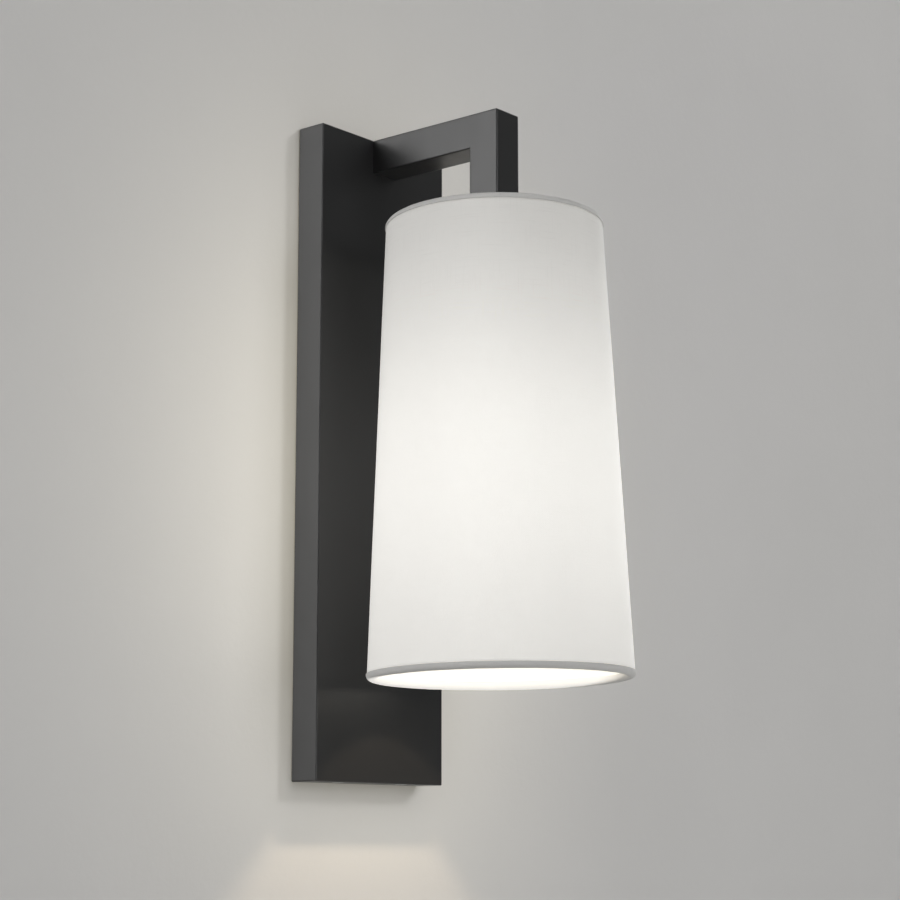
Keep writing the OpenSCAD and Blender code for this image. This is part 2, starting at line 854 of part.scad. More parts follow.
// Insulating core that carries both contacts, with a well for the wires
module holder_core() {
    half_w = contact_w / 2 + contact_slot;
    out_x = contact_x + contact_t + contact_slot;
    color("white")
        on_leg_axis()
            difference() {
                rod_z(core_r - fit_gap, core_seat_z, core_top_z);
                slab(2 * out_x, -2 * half_w, half_w, tab_low_z, core_top_z + past);
                slab(2 * well_x, -half_w, half_w, core_seat_z + well_floor, core_top_z);
                for (side = [-1, 1]) {
                    rod_z(holder_screw_r + fit_gap, tab_low_z - holder_screw_sink - past, tab_low_z + past,
                        side * holder_screw_x);
                    translate([side * (contact_x + contact_t / 2), 0, 0])
                        slab(contact_t + 2 * contact_slot, -half_w, half_w, core_seat_z - past, tab_low_z + past);
                }
            }
}

// Contact tab under a terminal screw and its leg down through the core, on one side
module contact_strip(side, low_z) {
    out_x = contact_x + contact_t;
    difference() {
        union() {
            translate([side * (tab_x + out_x) / 2, 0, 0])
                slab(out_x - tab_x, -contact_w / 2, contact_w / 2, tab_low_z, tab_top_z);
            translate([side * (contact_x + contact_t / 2), 0, 0])
                slab(contact_t, -contact_w / 2, contact_w / 2, low_z, tab_top_z);
        }
        rod_z(holder_screw_r + fit_gap, tab_low_z - past, tab_top_z + past, side * holder_screw_x);
    }
}

// Contact that meets the bulb's tip
module centre_contact() {
    low_z = core_seat_z - contact_t;
    out_x = contact_x + contact_t;
    color("gold")
        on_leg_axis() {
            contact_strip(-1, low_z);
            translate([-out_x / 2, 0, 0])
                slab(out_x, -contact_w / 2, contact_w / 2, low_z, core_seat_z);
            rod_z(contact_button_r, core_seat_z - contact_dip, core_seat_z);
        }
}

// Contact that meets the side of the bulb's screw shell
module side_contact() {
    color("gold")
        on_leg_axis()
            contact_strip(1, contact_low_z);
}

// Slotted screws that clamp the wires on the contact tabs
module holder_terminal_screws() {
    head_z = clamp_z + core_r_out + fit_gap;
    top_z = head_z + holder_head_h;
    color("silver")
        on_leg_axis()
            for (side = [-1, 1])
                translate([side * holder_screw_x, 0, 0])
                    difference() {
                        union() {
                            rod_z(holder_screw_r, tab_low_z - holder_screw_sink, head_z);
                            rod_z(holder_head_r, head_z, top_z);
                        }
                        slab(holder_slot_w, -holder_head_r - past, holder_head_r + past,
                            top_z - holder_slot_d, top_z + past);
                    }
}

// Radius of the shade's outer face at a height
function wall_r(z) = shade_bottom_r - (z - shade_bottom_z) * tan(wall_slope);

// Places a half section on the shade's wall: x = 0 is its outer face at a height, and y runs up the wall
module on_wall(z) {
    translate([wall_r(z), z])
        rotate(wall_slope)
            children();
}

// Wire ring inside one edge of the shade
module wire_ring(edge_z) {
    rotate_extrude()
        on_wall(edge_z)
            translate([wire_x, 0])
                circle(r = wire_r);
}

// Leans its children with the shade, about the lower end of the leg
module leaned() {
    translate([0, 0, leg_end_z])
        rotate([-shade_tilt, 0, 0])
            translate([0, 0, -leg_end_z])
                children();
}

// Where a point of the upright shade lies once it leans
function leaned_point(p) = [
    p.x,
    p.y * cos(shade_tilt) + (p.z - leg_end_z) * sin(shade_tilt),
    leg_end_z - p.y * sin(shade_tilt) + (p.z - leg_end_z) * cos(shade_tilt)
];

// A round bar between two points
module bar(from, to, r) {
    v = to - from;
    translate(from)
        rotate([0, 0, atan2(v.y, v.x)])
            rotate([0, acos(v.z / norm(v)), 0])
                cylinder(r = r, h = norm(v));
}

// Spokes from the fitter ring to "short" of the top wire's centre, "extra" thicker in radius
module spokes(short, extra) {
    foot_r = fitter_out_r - spoke_inset;
    foot_z = fitter_top_z - fitter_t / 2;
    head_r = wall_r(top_edge_z) + wire_x * cos(wall_slope);
    head_z = top_edge_z + wire_x * sin(wall_slope);
    for (i = [0 : spoke_n - 1])
        let (
            a = 90 + 360 * i / spoke_n,
            out = [cos(a), sin(a), 0],
            foot = foot_r * out + [0, 0, foot_z],
            head = leaned_point(head_r * out + [0, 0, head_z])
        )
            bar(foot, head - short * unit(head - foot), wire_r + extra);
}

// Flat ring of the shade carrier, clamped between the lampholder's flange and the threaded ring
module fitter_ring() {
    fitter_low_z = fitter_top_z - fitter_t;
    color("silver")
        on_leg_axis()
            difference() {
                rod_z(fitter_out_r, fitter_low_z, fitter_top_z);
                rod_z(fitter_in_r, fitter_low_z - past, fitter_top_z + past);
            }
}

// Spokes of the shade carrier, welded on the fitter ring and on the top wire ring
module carrier_spokes() {
    color("silver")
        on_leg_axis()
            difference() {
                spokes(wire_r + fit_gap, 0);
                rod_z(fitter_out_r + wire_d, fitter_top_z - fitter_t - wire_d, fitter_top_z);
            }
}

// Wire ring inside the top hem
module top_ring() {
    color("silver")
        on_leg_axis()
            leaned()
                wire_ring(top_edge_z);
}

// Wire ring inside the bottom hem
module bottom_ring() {
    color("silver")
        on_leg_axis()
            leaned()
                wire_ring(low_edge_z);
}

// Half section of one layer of the shade's wall, between two depths below its outer face
module layer_section(outer, inner) {
    on_wall(low_edge_z)
        translate([-inner, -hem_bite])
            square([inner - outer, wall_len + 2 * hem_bite]);
}

// Stiff lining of the shade
module shade_liner() {
    color("ghostwhite")
        on_leg_axis()
            leaned()
                rotate_extrude()
                    layer_section(fabric_t, laminate_t);
}

// Shade fabric with its lapped seam towards the wall
module shade_fabric() {
    lap_low = hem_flap + hem_bite;
    color("white")
        on_leg_axis()
            leaned() {
                rotate_extrude()
                    layer_section(0, fabric_t);
                intersection() {
                    rotate_extrude()
                        on_wall(low_edge_z)
                            translate([-fabric_t / 2, lap_low])
                                square([fabric_t, wall_len - 2 * lap_low]);
                    slab(seam_w, 0, 2 * shade_bottom_r, shade_bottom_z, shade_top_z);
                }
            }
}

// Half section of the bottom hem: round the wall's end and the wire, with a flap up the fabric's face
module hem_section() {
    wire_gap_r = wire_r + fit_gap;
    difference() {
        union() {
            translate([hem_x, 0])
                circle(r = hem_r);
            translate([hem_x - hem_r, 0])
                square([2 * hem_r, hem_flap]);
        }
        translate([hem_x, 0])
            circle(r = hem_in_r);
        translate([hem_x - hem_in_r, 0])
            square([2 * hem_in_r, hem_flap + past]);
        translate([hem_x - hem_r - past, 0])
            square([hem_r + past, hem_r + past]);
        translate([hem_x - hem_r - past, hem_flap])
            square([2 * hem_r + 2 * past, hem_r]);
    }
    translate([wire_x, 0])
        intersection() {
            difference() {
                circle(r = wire_gap_r + hem_t);
                circle(r = wire_gap_r);
            }
            translate([-2 * wire_d, 0])
                square(2 * wire_d);
        }
    translate([wire_x, wire_gap_r])
        square([wire_r, hem_t]);
}

// Fabric rolled over the top edge, with notches for the spokes
module top_hem() {
    color("white")
        on_leg_axis()
            difference() {
                leaned()
                    rotate_extrude()
                        on_wall(top_edge_z)
                            mirror([0, 1])
                                hem_section();
                spokes(notch_short, 2 * fit_gap);
            }
}

// Fabric rolled over the bottom edge
module bottom_hem() {
    color("white")
        on_leg_axis()
            leaned()
                rotate_extrude()
                    on_wall(low_edge_z)
                        hem_section();
}

// Threaded ring, screwed up the skirt until it clamps the carrier against the flange
module shade_ring() {
    flange_low = ring_top_z - ring_flange_t;
    color("#1c1c1c")
        on_leg_axis()
            difference() {
                union() {
                    rod_z(ring_flange_r, flange_low, ring_top_z);
                    rod_z(ring_hub_r, ring_low_z, flange_low);
                    for (i = [0 : rib_n - 1])
                        rotate([0, 0, 360 * i / rib_n])
                            translate([ring_hub_r - rib_w, -rib_w / 2, ring_low_z + rib_rise])
                                cube([rib_w + rib_proud, rib_w, flange_low - ring_low_z - rib_rise]);
                }
                rod_z(ring_in_r, ring_low_z - past, ring_top_z + past);
            }
}

// Metal shell with the bulb's thread
module bulb_screw_shell() {
    thread_z = shell_top_z - shell_lead;
    in_r = shell_root_r - shell_wall;
    outline = concat(
        [[shell_mouth_r, shell_top_z], [in_r, shell_top_z]],
        round_thread(shell_crest_r, shell_root_r, thread_z, -shell_pitch, shell_turns),
        [[shell_root_r, shell_end_z], [in_r, shell_end_z], [in_r, thread_z],
            [in_r - shell_wall, shell_top_z - shell_wall], [shell_mouth_r, shell_top_z - shell_wall]]
    );
    color("silver")
        on_leg_axis()
            rotate_extrude()
                polygon(outline);
}

// Insulator between the screw shell and the contact
module bulb_insulator() {
    top_z = shell_top_z + insulator_h;
    color("#181818")
        on_leg_axis()
            rotate_extrude()
                polygon([
                    [0, shell_top_z], [shell_root_r - 2 * shell_wall, shell_top_z],
                    [insulator_tip_r, top_z], [0, top_z]
                ]);
}

// Contact at the bulb's tip
module bulb_contact() {
    color("lightgray")
        on_leg_axis()
            rod_z(bulb_contact_r, shell_top_z + insulator_h, bulb_top_z);
}

// Conical housing between the screw shell and the globe, with a ledge for the board
module bulb_collar() {
    shoulder_z = shell_end_z - collar_shoulder_h;
    board_r = globe_cut_r - collar_wall;
    color("whitesmoke")
        on_leg_axis()
            rotate_extrude()
                polygon([
                    [shell_root_r - shell_wall, shell_end_z], [collar_r, shell_end_z],
                    [collar_r + collar_shoulder, shoulder_z], [globe_cut_r, globe_cut_z],
                    [board_r, globe_cut_z], [board_r, led_board_top_z], [board_r - collar_ledge, led_board_top_z],
                    [collar_r - collar_wall, shoulder_z], [shell_root_r - shell_wall - collar_wall, shoulder_z]
                ]);
}

// Opal globe of the bulb
module bulb_globe() {
    color("white")
        on_leg_axis()
            rotate_extrude()
                translate([0, globe_z])
                    intersection() {
                        difference() {
                            circle(r = globe_r);
                            circle(r = globe_r - globe_wall);
                        }
                        translate([0, -globe_r])
                            square([globe_r, globe_r * (1 + globe_cut)]);
                    }
}

// Round board with a circle of light-emitting chips on its lower face
module bulb_led_board() {
    board_r = globe_cut_r - collar_wall - led_board_gap;
    color("whitesmoke")
        on_leg_axis() {
            rod_z(board_r, led_board_top_z - led_board_t, led_board_top_z);
            for (i = [0 : led_n - 1])
                rotate([0, 0, 360 * i / led_n])
                    translate([board_r * 2 / 3, 0, 0])
                        slab(led_size.x, -led_size.y / 2, led_size.y / 2,
                            led_board_top_z - led_board_t - led_size.z, led_board_top_z - led_board_t / 2);
        }
}

// Upright driver board with its coil and its largest chip
module bulb_driver() {
    part_z = led_board_top_z + driver_foot;
    color("forestgreen")
        on_leg_axis() {
            slab(driver_w, -driver_t / 2, driver_t / 2, led_board_top_z, shell_top_z - driver_stop);
            rod_z(coil_r, part_z, part_z + coil_h, -coil_r, -coil_r);
            translate([0, 0, part_z])
                cube(chip_size);
        }
}

wall_bracket();
bracket_earth_stud();
bracket_earth_nut();
cover();
clinch_nuts();
set_screws();
arm_tube();
leg_tube();
arm_plug();
leg_plug();
arm_nipple();
arm_lock_washer();
arm_nut();
arm_pin();
terminal_block();
terminal_clamps();
terminal_screws();
terminal_block_studs();
terminal_block_nuts();
cover_earth_stud();
cover_earth_nut();
earth_ring_terminal();
live_wire();
neutral_wire();
earth_wire();
holder_locknut();
holder_nipple();
holder_cap();
holder_body();
holder_core();
centre_contact();
side_contact();
holder_terminal_screws();
fitter_ring();
carrier_spokes();
top_ring();
bottom_ring();
shade_liner();
shade_fabric();
top_hem();
bottom_hem();
shade_ring();
bulb_screw_shell();
bulb_insulator();
bulb_contact();
bulb_collar();
bulb_globe();
bulb_led_board();
bulb_driver();
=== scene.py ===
import json
import math

import bmesh
import bpy
from mathutils import Matrix, Vector, noise


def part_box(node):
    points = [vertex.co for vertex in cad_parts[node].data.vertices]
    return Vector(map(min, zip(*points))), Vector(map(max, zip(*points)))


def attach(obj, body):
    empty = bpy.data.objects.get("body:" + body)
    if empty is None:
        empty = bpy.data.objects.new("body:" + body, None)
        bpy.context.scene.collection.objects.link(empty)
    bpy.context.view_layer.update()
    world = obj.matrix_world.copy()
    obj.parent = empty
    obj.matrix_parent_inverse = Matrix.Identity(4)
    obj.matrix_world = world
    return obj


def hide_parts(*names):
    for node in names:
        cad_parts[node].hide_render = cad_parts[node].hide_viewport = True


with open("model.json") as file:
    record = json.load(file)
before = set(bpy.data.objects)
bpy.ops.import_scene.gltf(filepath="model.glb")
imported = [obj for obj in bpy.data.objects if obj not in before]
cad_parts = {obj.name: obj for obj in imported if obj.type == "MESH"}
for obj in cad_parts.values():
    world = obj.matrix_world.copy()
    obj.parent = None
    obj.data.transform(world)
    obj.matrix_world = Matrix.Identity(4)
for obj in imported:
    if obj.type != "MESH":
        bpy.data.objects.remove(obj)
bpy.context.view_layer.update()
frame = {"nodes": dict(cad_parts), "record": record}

MM = 0.001
SCENE = bpy.context.scene

# Places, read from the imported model: the leg's axis and end, the arm's top and the cover
leg_low, leg_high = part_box("leg_tube")
ARM_TOP_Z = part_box("arm_tube")[1].z
cover_low, cover_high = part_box("cover")
AXIS_Y = (leg_low.y + leg_high.y) / 2
LEG_END_Z = leg_low.z
BAR_W = leg_high.x - leg_low.x
BAR_WALL = 1.5 * MM
BAR_EDGE_R = 0.7 * MM

# The shade's cone and its layers, as in the part's source
TOP_R = 45.5 * MM
BOTTOM_R = 54.5 * MM
SHADE_H = 192 * MM
SHADE_TOP_Z = 92.45 * MM
SHADE_BOTTOM_Z = SHADE_TOP_Z - SHADE_H
TILT = math.radians(0.8)
SLOPE = math.atan((BOTTOM_R - TOP_R) / SHADE_H)
WALL_LEN = SHADE_H / math.cos(SLOPE)
MEAN_R = (TOP_R + BOTTOM_R) / 2
FABRIC_T = 0.5 * MM
LAMINATE_T = 1.0 * MM
WIRE_D = 2.5 * MM
FIT_GAP = 0.05 * MM
SEAM_W = 9 * MM

# The cloth over the lining: its own thickness, the lap's rise over the layer below and the cloth's unevenness
CLOTH_T = FABRIC_T * 0.9
LAP_RISE = FABRIC_T * 0.95
LAP_CLIMB = 0.05  # radians
CLOTH_WOBBLE = 0.06 * MM

# The rolled hems: cloth round a wire and the wall's edge, with a short flap outside and a curl inside
HEM_T = 0.3 * MM
HEM_IN_R = (LAMINATE_T + WIRE_D + 3 * FIT_GAP) / 2
HEM_R = HEM_IN_R + HEM_T
HEM_X = FIT_GAP - HEM_IN_R
HEM_FLAP = 0.5 * MM
HEM_CURL = 1.0 * MM
HEM_SWELL = 0.07 * MM
HEM_PUCKER = 0.035 * MM

# The shade's lean, about the leg's lower end
PIVOT = Vector((0, AXIS_Y, LEG_END_Z))
LEAN = Matrix.Translation(PIVOT) @ Matrix.Rotation(-TILT, 4, "X") @ Matrix.Translation(-PIVOT)


# ---------------------------------------------------------------- materials

class Shader:
    """A node material around one Principled shader."""

    def __init__(self, name, colour, rough, metal=0.0, **sockets):
        self.material = bpy.data.materials.new(name)
        self.material.use_nodes = True
        self.tree = self.material.node_tree
        self.bsdf = next(n for n in self.tree.nodes if n.type == "BSDF_PRINCIPLED")
        self.set("Base Color", (*colour, 1.0))
        self.set("Roughness", rough)
        self.set("Metallic", metal)
        self.set("IOR", 1.5)
        for socket, value in sockets.items():
            self.set(socket.replace("_", " "), value)
        self.base = colour
        self.rough = rough
        self.place = self.add("ShaderNodeTexCoord").outputs["Object"]

    def parts(self):
        """X, Y and Z of the object coordinates."""
        return self.add("ShaderNodeSeparateXYZ", {"Vector": self.place}).outputs

    def set(self, socket, value):
        """Sets a socket of the Principled shader to a value, or links it to another socket."""
        if isinstance(value, bpy.types.NodeSocket):
            self.tree.links.new(value, self.bsdf.inputs[socket])
        else:
            self.bsdf.inputs[socket].default_value = value

    def add(self, kind, inputs=None, **settings):
        """A new node, with its inputs set to values or linked to sockets."""
        node = self.tree.nodes.new(kind)
        for key, value in settings.items():
            setattr(node, key, value)
        for key, value in (inputs or {}).items():
            if isinstance(value, bpy.types.NodeSocket):
                self.tree.links.new(value, node.inputs[key])
            else:
                node.inputs[key].default_value = value
        return node

    def math(self, operation, *values):
        return self.add("ShaderNodeMath", dict(enumerate(values)), operation=operation).outputs[0]

    def stretched(self, scale):
        """Object coordinates scaled along X, Y and Z."""
        return self.add("ShaderNodeMapping", {"Vector": self.place, "Scale": scale}).outputs[0]

    def noise(self, scale, detail, vector=None):
        return self.add("ShaderNodeTexNoise", {
            "Vector": vector or self.place, "Scale": scale, "Detail": detail, "Roughness": 0.55,
        }).outputs["Fac"]

    def cells(self, scale):
        return self.add("ShaderNodeTexVoronoi", {"Vector": self.place, "Scale": scale}).outputs["Distance"]

    def ramp(self, value, low, high, to_low=0.0, to_high=1.0):
        return self.add("ShaderNodeMapRange", {
            "Value": value, "From Min": low, "From Max": high, "To Min": to_low, "To Max": to_high,
        }).outputs[0]

    def mix(self, share, one, other):
        """A colour between two colours or sockets."""
        node = self.tree.nodes.new("ShaderNodeMix")
        node.data_type = "RGBA"
        self.tree.links.new(share, node.inputs[0])
        for slot, value in ((6, one), (7, other)):
            if isinstance(value, bpy.types.NodeSocket):
                self.tree.links.new(value, node.inputs[slot])
            else:
                node.inputs[slot].default_value = (*value, 1.0)
        return node.outputs[2]

    def tones(self, value, darker, lighter, low=0.35, high=0.65):
        """Base colour that varies between two shares of its own tone."""
        dark = [c * darker for c in self.base]
        light = [min(1.0, c * lighter) for c in self.base]
        self.set("Base Color", self.mix(self.ramp(value, low, high), dark, light))

    def vary_rough(self, value, spread):
        """Roughness that varies by "spread" to both sides of its own."""
        self.set("Roughness", self.ramp(value, 0.3, 0.7, self.rough - spread, self.rough + spread))

    def bump(self, *layers):
        """Layers of (height socket, distance in metres, strength)."""
        normal = None
        for height, distance, strength in layers:
            inputs = {"Height": height, "Distance": distance, "Strength": strength}
            if normal:
                inputs["Normal"] = normal
            normal = self.add("ShaderNodeBump", inputs).outputs[0]
        self.set("Normal", normal)


def black_paint():
    """Satin powder coat, with its faint orange peel and a finer grain."""
    s = Shader("satin_black_powder_coat", (0.018, 0.018, 0.0185), 0.34)
    s.tones(s.noise(28, 2), 0.93, 1.07)
    s.vary_rough(s.noise(160, 3), 0.03)
    s.bump((s.noise(420, 1), 0.00001, 0.4), (s.noise(900, 2), 0.000006, 0.5))
    return s.material


def plated_steel(name, colour, rough, lines):
    """Plated steel; "lines" are the scales of its rolling or turning lines along X, Y and Z."""
    s = Shader(name, colour, rough, metal=1.0)
    cloud = s.noise(60, 4)
    grain = s.noise(1.0, 2, s.stretched(lines))
    cool = [min(1.0, c * k) for c, k in zip(colour, (0.975, 0.99, 1.01))]
    warm = [min(1.0, c * k) for c, k in zip(colour, (1.02, 1.01, 0.985))]
    s.set("Base Color", s.mix(s.ramp(cloud, 0.35, 0.65), cool, warm))
    clouded = s.ramp(cloud, 0.3, 0.7, rough - 0.03, rough + 0.03)
    s.set("Roughness", s.math("ADD", clouded, s.ramp(grain, 0.3, 0.7, -0.05, 0.05)))
    s.bump((grain, 0.00002, 0.35), (s.noise(1400, 1), 0.00001, 0.3))
    return s.material


def turned_brass(name, colour, rough):
    """Turned brass with tool marks and duller stains."""
    s = Shader(name, colour, rough, metal=1.0)
    stain = s.noise(120, 4)
    rings = s.noise(1.0, 1, s.stretched((500, 2600, 2600)))
    dull = [c * k for c, k in zip(colour, (0.72, 0.62, 0.45))]
    s.set("Base Color", s.mix(s.ramp(stain, 0.5, 0.85), colour, dull))
    s.vary_rough(stain, 0.08)
    s.bump((rings, 0.000015, 0.4))
    return s.material


def moulding(name, colour, rough, grain=700, depth=0.00002):
    """Moulded plastic with a fine spark-eroded grain and faint flow marks."""
    s = Shader(name, colour, rough)
    s.tones(s.noise(60, 2), 0.96, 1.04)
    s.vary_rough(s.noise(240, 3), 0.05)
    s.bump((s.cells(grain), depth, 0.4), (s.noise(grain * 2.3, 1), depth * 0.5, 0.4))
    return s.material


def insulation(name, colour):
    """Extruded insulation, with faint drag lines and a soft gloss."""
    s = Shader(name, colour, 0.38)
    s.tones(s.noise(300, 2), 0.9, 1.1)
    s.vary_rough(s.noise(900, 2), 0.06)
    s.bump((s.noise(1.0, 1, s.stretched((2500, 300, 2500))), 0.00001, 0.4))
    return s.material


def copper_strands():
    """The bared ends of the wires, twisted."""
    s = Shader("copper_strands", (0.80, 0.42, 0.25), 0.32, metal=1.0)
    waves = {"Vector": s.place, "Scale": 420.0, "Distortion": 1.0}
    twist = s.add("ShaderNodeTexWave", waves, bands_direction="DIAGONAL")
    s.tones(s.noise(700, 2), 0.75, 1.1)
    s.bump((twist.outputs["Fac"], 0.0001, 0.8))
    return s.material


def around_axis(s):
    """Distance round the shade and height up it, both in metres."""
    x, y, z = s.parts()
    turn = s.math("ARCTAN2", x, s.math("SUBTRACT", AXIS_Y, y))
    return s.math("MULTIPLY", turn, MEAN_R), z


def weave_height(s, u, v, pitch):
    """Plain weave: warp and weft rise over each other in turn."""
    k = math.pi / pitch
    warp = s.math("SINE", s.math("MULTIPLY", u, k))
    weft = s.math("SINE", s.math("MULTIPLY", v, k))
    cross = s.math("MULTIPLY", warp, weft)
    threads = s.math("MAXIMUM", s.math("ABSOLUTE", warp), s.math("ABSOLUTE", weft))
    return s.math("ADD", s.math("MULTIPLY", cross, 0.5), threads)


# How the bulb shows through the cloth: height in millimetres and share of the full glow
GLOW_STOPS = [
    (-100, 0.60), (-82, 0.67), (-62, 0.82), (-40, 0.95), (-22, 1.0), (0, 0.95), (18, 0.82), (36, 0.62), (56, 0.40),
    (76, 0.23), (95, 0.14),
]
GLOW_REACH = 100
THREAD_PITCH = 0.38 * MM


def cloth(name, colour):
    """White lampshade cloth with its weave and slubs: the shader, its slubs' tone and its weave's height."""
    s = Shader(name, colour, 0.85, Sheen_Weight=0.12, Sheen_Roughness=0.5)
    u, v = around_axis(s)
    weave = weave_height(s, u, v, THREAD_PITCH)
    flat = s.add("ShaderNodeCombineXYZ", {"X": u, "Y": v}).outputs[0]
    across = s.add("ShaderNodeMapping", {"Vector": flat, "Scale": (60, 1500, 1)}).outputs[0]
    along = s.add("ShaderNodeMapping", {"Vector": flat, "Scale": (1500, 60, 1)}).outputs[0]
    weft_slubs = s.ramp(s.noise(1.0, 2, across), 0.55, 0.8)
    warp_slubs = s.ramp(s.noise(1.0, 2, along), 0.55, 0.8)
    slubs = s.math("MAXIMUM", weft_slubs, warp_slubs)
    cloud = s.noise(38, 3)
    tone = s.math("ADD", s.math("MULTIPLY", slubs, 0.5), s.math("MULTIPLY", cloud, 0.5))
    s.tones(tone, 1.015, 0.965, 0.2, 0.75)
    s.bump((weave, 0.00006, 0.5), (slubs, 0.00008, 0.4))
    return s, tone, weave


def glowing_cloth(glow):
    """The shade's cloth; "glow" is the strength at which the bulb shines through it where that is strongest."""
    s, tone, weave = cloth("white_lampshade_cloth", (0.80, 0.785, 0.755))
    reach = GLOW_REACH * MM
    stops = s.add("ShaderNodeValToRGB", {"Fac": s.ramp(s.parts()[2], -reach, reach)})
    ramp = stops.color_ramp
    ramp.interpolation = "B_SPLINE"
    while len(ramp.elements) < len(GLOW_STOPS):
        ramp.elements.new(0.5)
    for element, (height, share) in zip(ramp.elements, GLOW_STOPS):
        element.position = (height + GLOW_REACH) / (2 * GLOW_REACH)
        element.color = (share, share, share, 1)
    through = s.math("MULTIPLY", stops.outputs["Color"], s.ramp(tone, 0.2, 0.75, 1.01 * glow, 0.95 * glow))
    through = s.math("MULTIPLY", through, s.ramp(weave, 0.0, 1.5, 1.03, 0.97))
    s.set("Emission Color", (1.0, 0.978, 0.925, 1.0))
    s.set("Emission Strength", through)
    return s.material


def shaded_hem_cloth():
    """The turned-in cloth of the hems: the shade's white cloth with its base colour darkened to grey as painted shade,
    and a painted glow on its inner side only, where the bulb lights it.
    """
    # A darker base colour than the shade's cloth, as painted shade
    s, _, _ = cloth("hem_cloth_with_painted_shade", (0.62, 0.61, 0.595))
    x, y, z = s.parts()
    out = s.add("ShaderNodeCombineXYZ", {"X": x, "Y": s.math("SUBTRACT", y, AXIS_Y)}).outputs[0]
    r = s.add("ShaderNodeVectorMath", {0: out}, operation="LENGTH").outputs["Value"]
    face = s.ramp(z, SHADE_BOTTOM_Z, SHADE_TOP_Z, BOTTOM_R, TOP_R)
    depth = s.math("SUBTRACT", face, r)
    s.set("Emission Color", (1.0, 0.97, 0.91, 1.0))
    s.set("Emission Strength", s.ramp(depth, 1.9 * MM, 3.2 * MM, 0.02, 0.6))
    return s.material


def lining():
    """Stiff white film behind the cloth, lit by the bulb and most of all near its lower edge."""
    s = Shader("white_lining_film", (0.84, 0.83, 0.80), 0.55)
    s.tones(s.noise(45, 3), 0.98, 1.0)
    s.vary_rough(s.noise(120, 2), 0.06)
    s.bump((s.noise(600, 2), 0.00002, 0.3))
    glow = s.ramp(s.parts()[2], -100 * MM, -50 * MM, 0.5, 0.28)
    s.set("Emission Color", (1.0, 0.97, 0.90, 1.0))
    s.set("Emission Strength", s.math("MULTIPLY", glow, s.ramp(s.noise(30, 2), 0.3, 0.7, 0.97, 1.03)))
    return s.material


def opal_globe():
    """The bulb's lit globe, a little brighter at its lower end."""
    s = Shader("opal_globe", (0.90, 0.89, 0.86), 0.3)
    s.tones(s.noise(70, 2), 0.985, 1.0)
    s.vary_rough(s.noise(300, 2), 0.04)
    s.bump((s.noise(500, 1), 0.00001, 0.3))
    s.set("Emission Color", (1.0, 0.90, 0.74, 1.0))
    s.set("Emission Strength", s.ramp(s.parts()[2], -50 * MM, -8 * MM, 1.5, 1.35))
    return s.material


def led_board():
    """White solder mask with a fine grain."""
    s = Shader("white_solder_mask", (0.84, 0.84, 0.81), 0.5)
    s.tones(s.noise(90, 2), 0.96, 1.0)
    s.bump((s.noise(1500, 2), 0.00001, 0.3))
    return s.material


def driver_board():
    """Green board with darker tracks."""
    s = Shader("green_circuit_board", (0.05, 0.22, 0.08), 0.42)
    tracks = s.add("ShaderNodeTexBrick", {
        "Vector": s.place, "Scale": 260.0, "Color1": (0.04, 0.19, 0.07, 1),
        "Color2": (0.07, 0.27, 0.10, 1), "Mortar": (0.03, 0.12, 0.05, 1),
    })
    s.set("Base Color", tracks.outputs["Color"])
    s.bump((tracks.outputs["Fac"], 0.00004, 0.4))
    return s.material


SLOTS = {
    "zinc_steel": plated_steel("zinc_plated_steel", (0.60, 0.61, 0.62), 0.36, (180, 180, 2400)),
    "black_oxide_steel": plated_steel("black_oxide_steel", (0.075, 0.075, 0.08), 0.42, (900, 900, 900)),
    "black_paint": black_paint(),
    "brass": turned_brass("turned_brass", (0.76, 0.58, 0.28), 0.26),
    "tinned_brass": plated_steel("tinned_brass", (0.70, 0.67, 0.58), 0.38, (900, 900, 200)),
    "black_moulding": moulding("black_moulding", (0.022, 0.022, 0.023), 0.46),
    "white_moulding": moulding("white_moulding", (0.80, 0.79, 0.75), 0.42, 500, 0.00001),
    "ivory_moulding": moulding("ivory_moulding", (0.80, 0.76, 0.66), 0.40, 600),
    "brown_insulation": insulation("brown_insulation", (0.16, 0.06, 0.025)),
    "blue_insulation": insulation("blue_insulation", (0.03, 0.11, 0.42)),
    "green_yellow_insulation": insulation("green_insulation", (0.06, 0.30, 0.05)),
    "shade_cloth": glowing_cloth(0.45),
    "shade_lining": lining(),
    "bulb_shell_metal": plated_steel("nickel_plated_shell", (0.72, 0.71, 0.69), 0.24, (300, 300, 1800)),
    "bulb_contact_metal": plated_steel("tinned_contact", (0.62, 0.62, 0.61), 0.40, (800, 800, 800)),
    "black_insulator": moulding("black_glass_insulator", (0.012, 0.012, 0.013), 0.12, 300, 0.00001),
    "white_housing": moulding("white_housing", (0.82, 0.82, 0.80), 0.30, 800, 0.00001),
    "opal_plastic": opal_globe(),
    "white_board": led_board(),
    "green_board": driver_board(),
}
YELLOW = insulation("yellow_insulation", (0.75, 0.55, 0.03))
COPPER = copper_strands()
# The hems' cloth, a darker copy of the shade's cloth as painted shade
SHADED_HEM_CLOTH = shaded_hem_cloth()


# ---------------------------------------------------------------- pieces

def put(name, bm, body, materials, replaced):
    """Makes a piece from a bmesh that rides on a body, in place of the nodes "replaced"."""
    bmesh.ops.recalc_face_normals(bm, faces=bm.faces)
    mesh = bpy.data.meshes.new(name)
    bm.to_mesh(mesh)
    bm.free()
    piece = bpy.data.objects.new(name, mesh)
    SCENE.collection.objects.link(piece)
    for material in materials:
        mesh.materials.append(material)
    for polygon in mesh.polygons:
        polygon.use_smooth = True
    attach(piece, body)
    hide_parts(*replaced)
    return piece


def even_shading(piece):
    """Weighted normals, so that large faces shade flat beside rounded edges."""
    modifier = piece.modifiers.new("even_shading", "WEIGHTED_NORMAL")
    modifier.weight = 50
    return piece


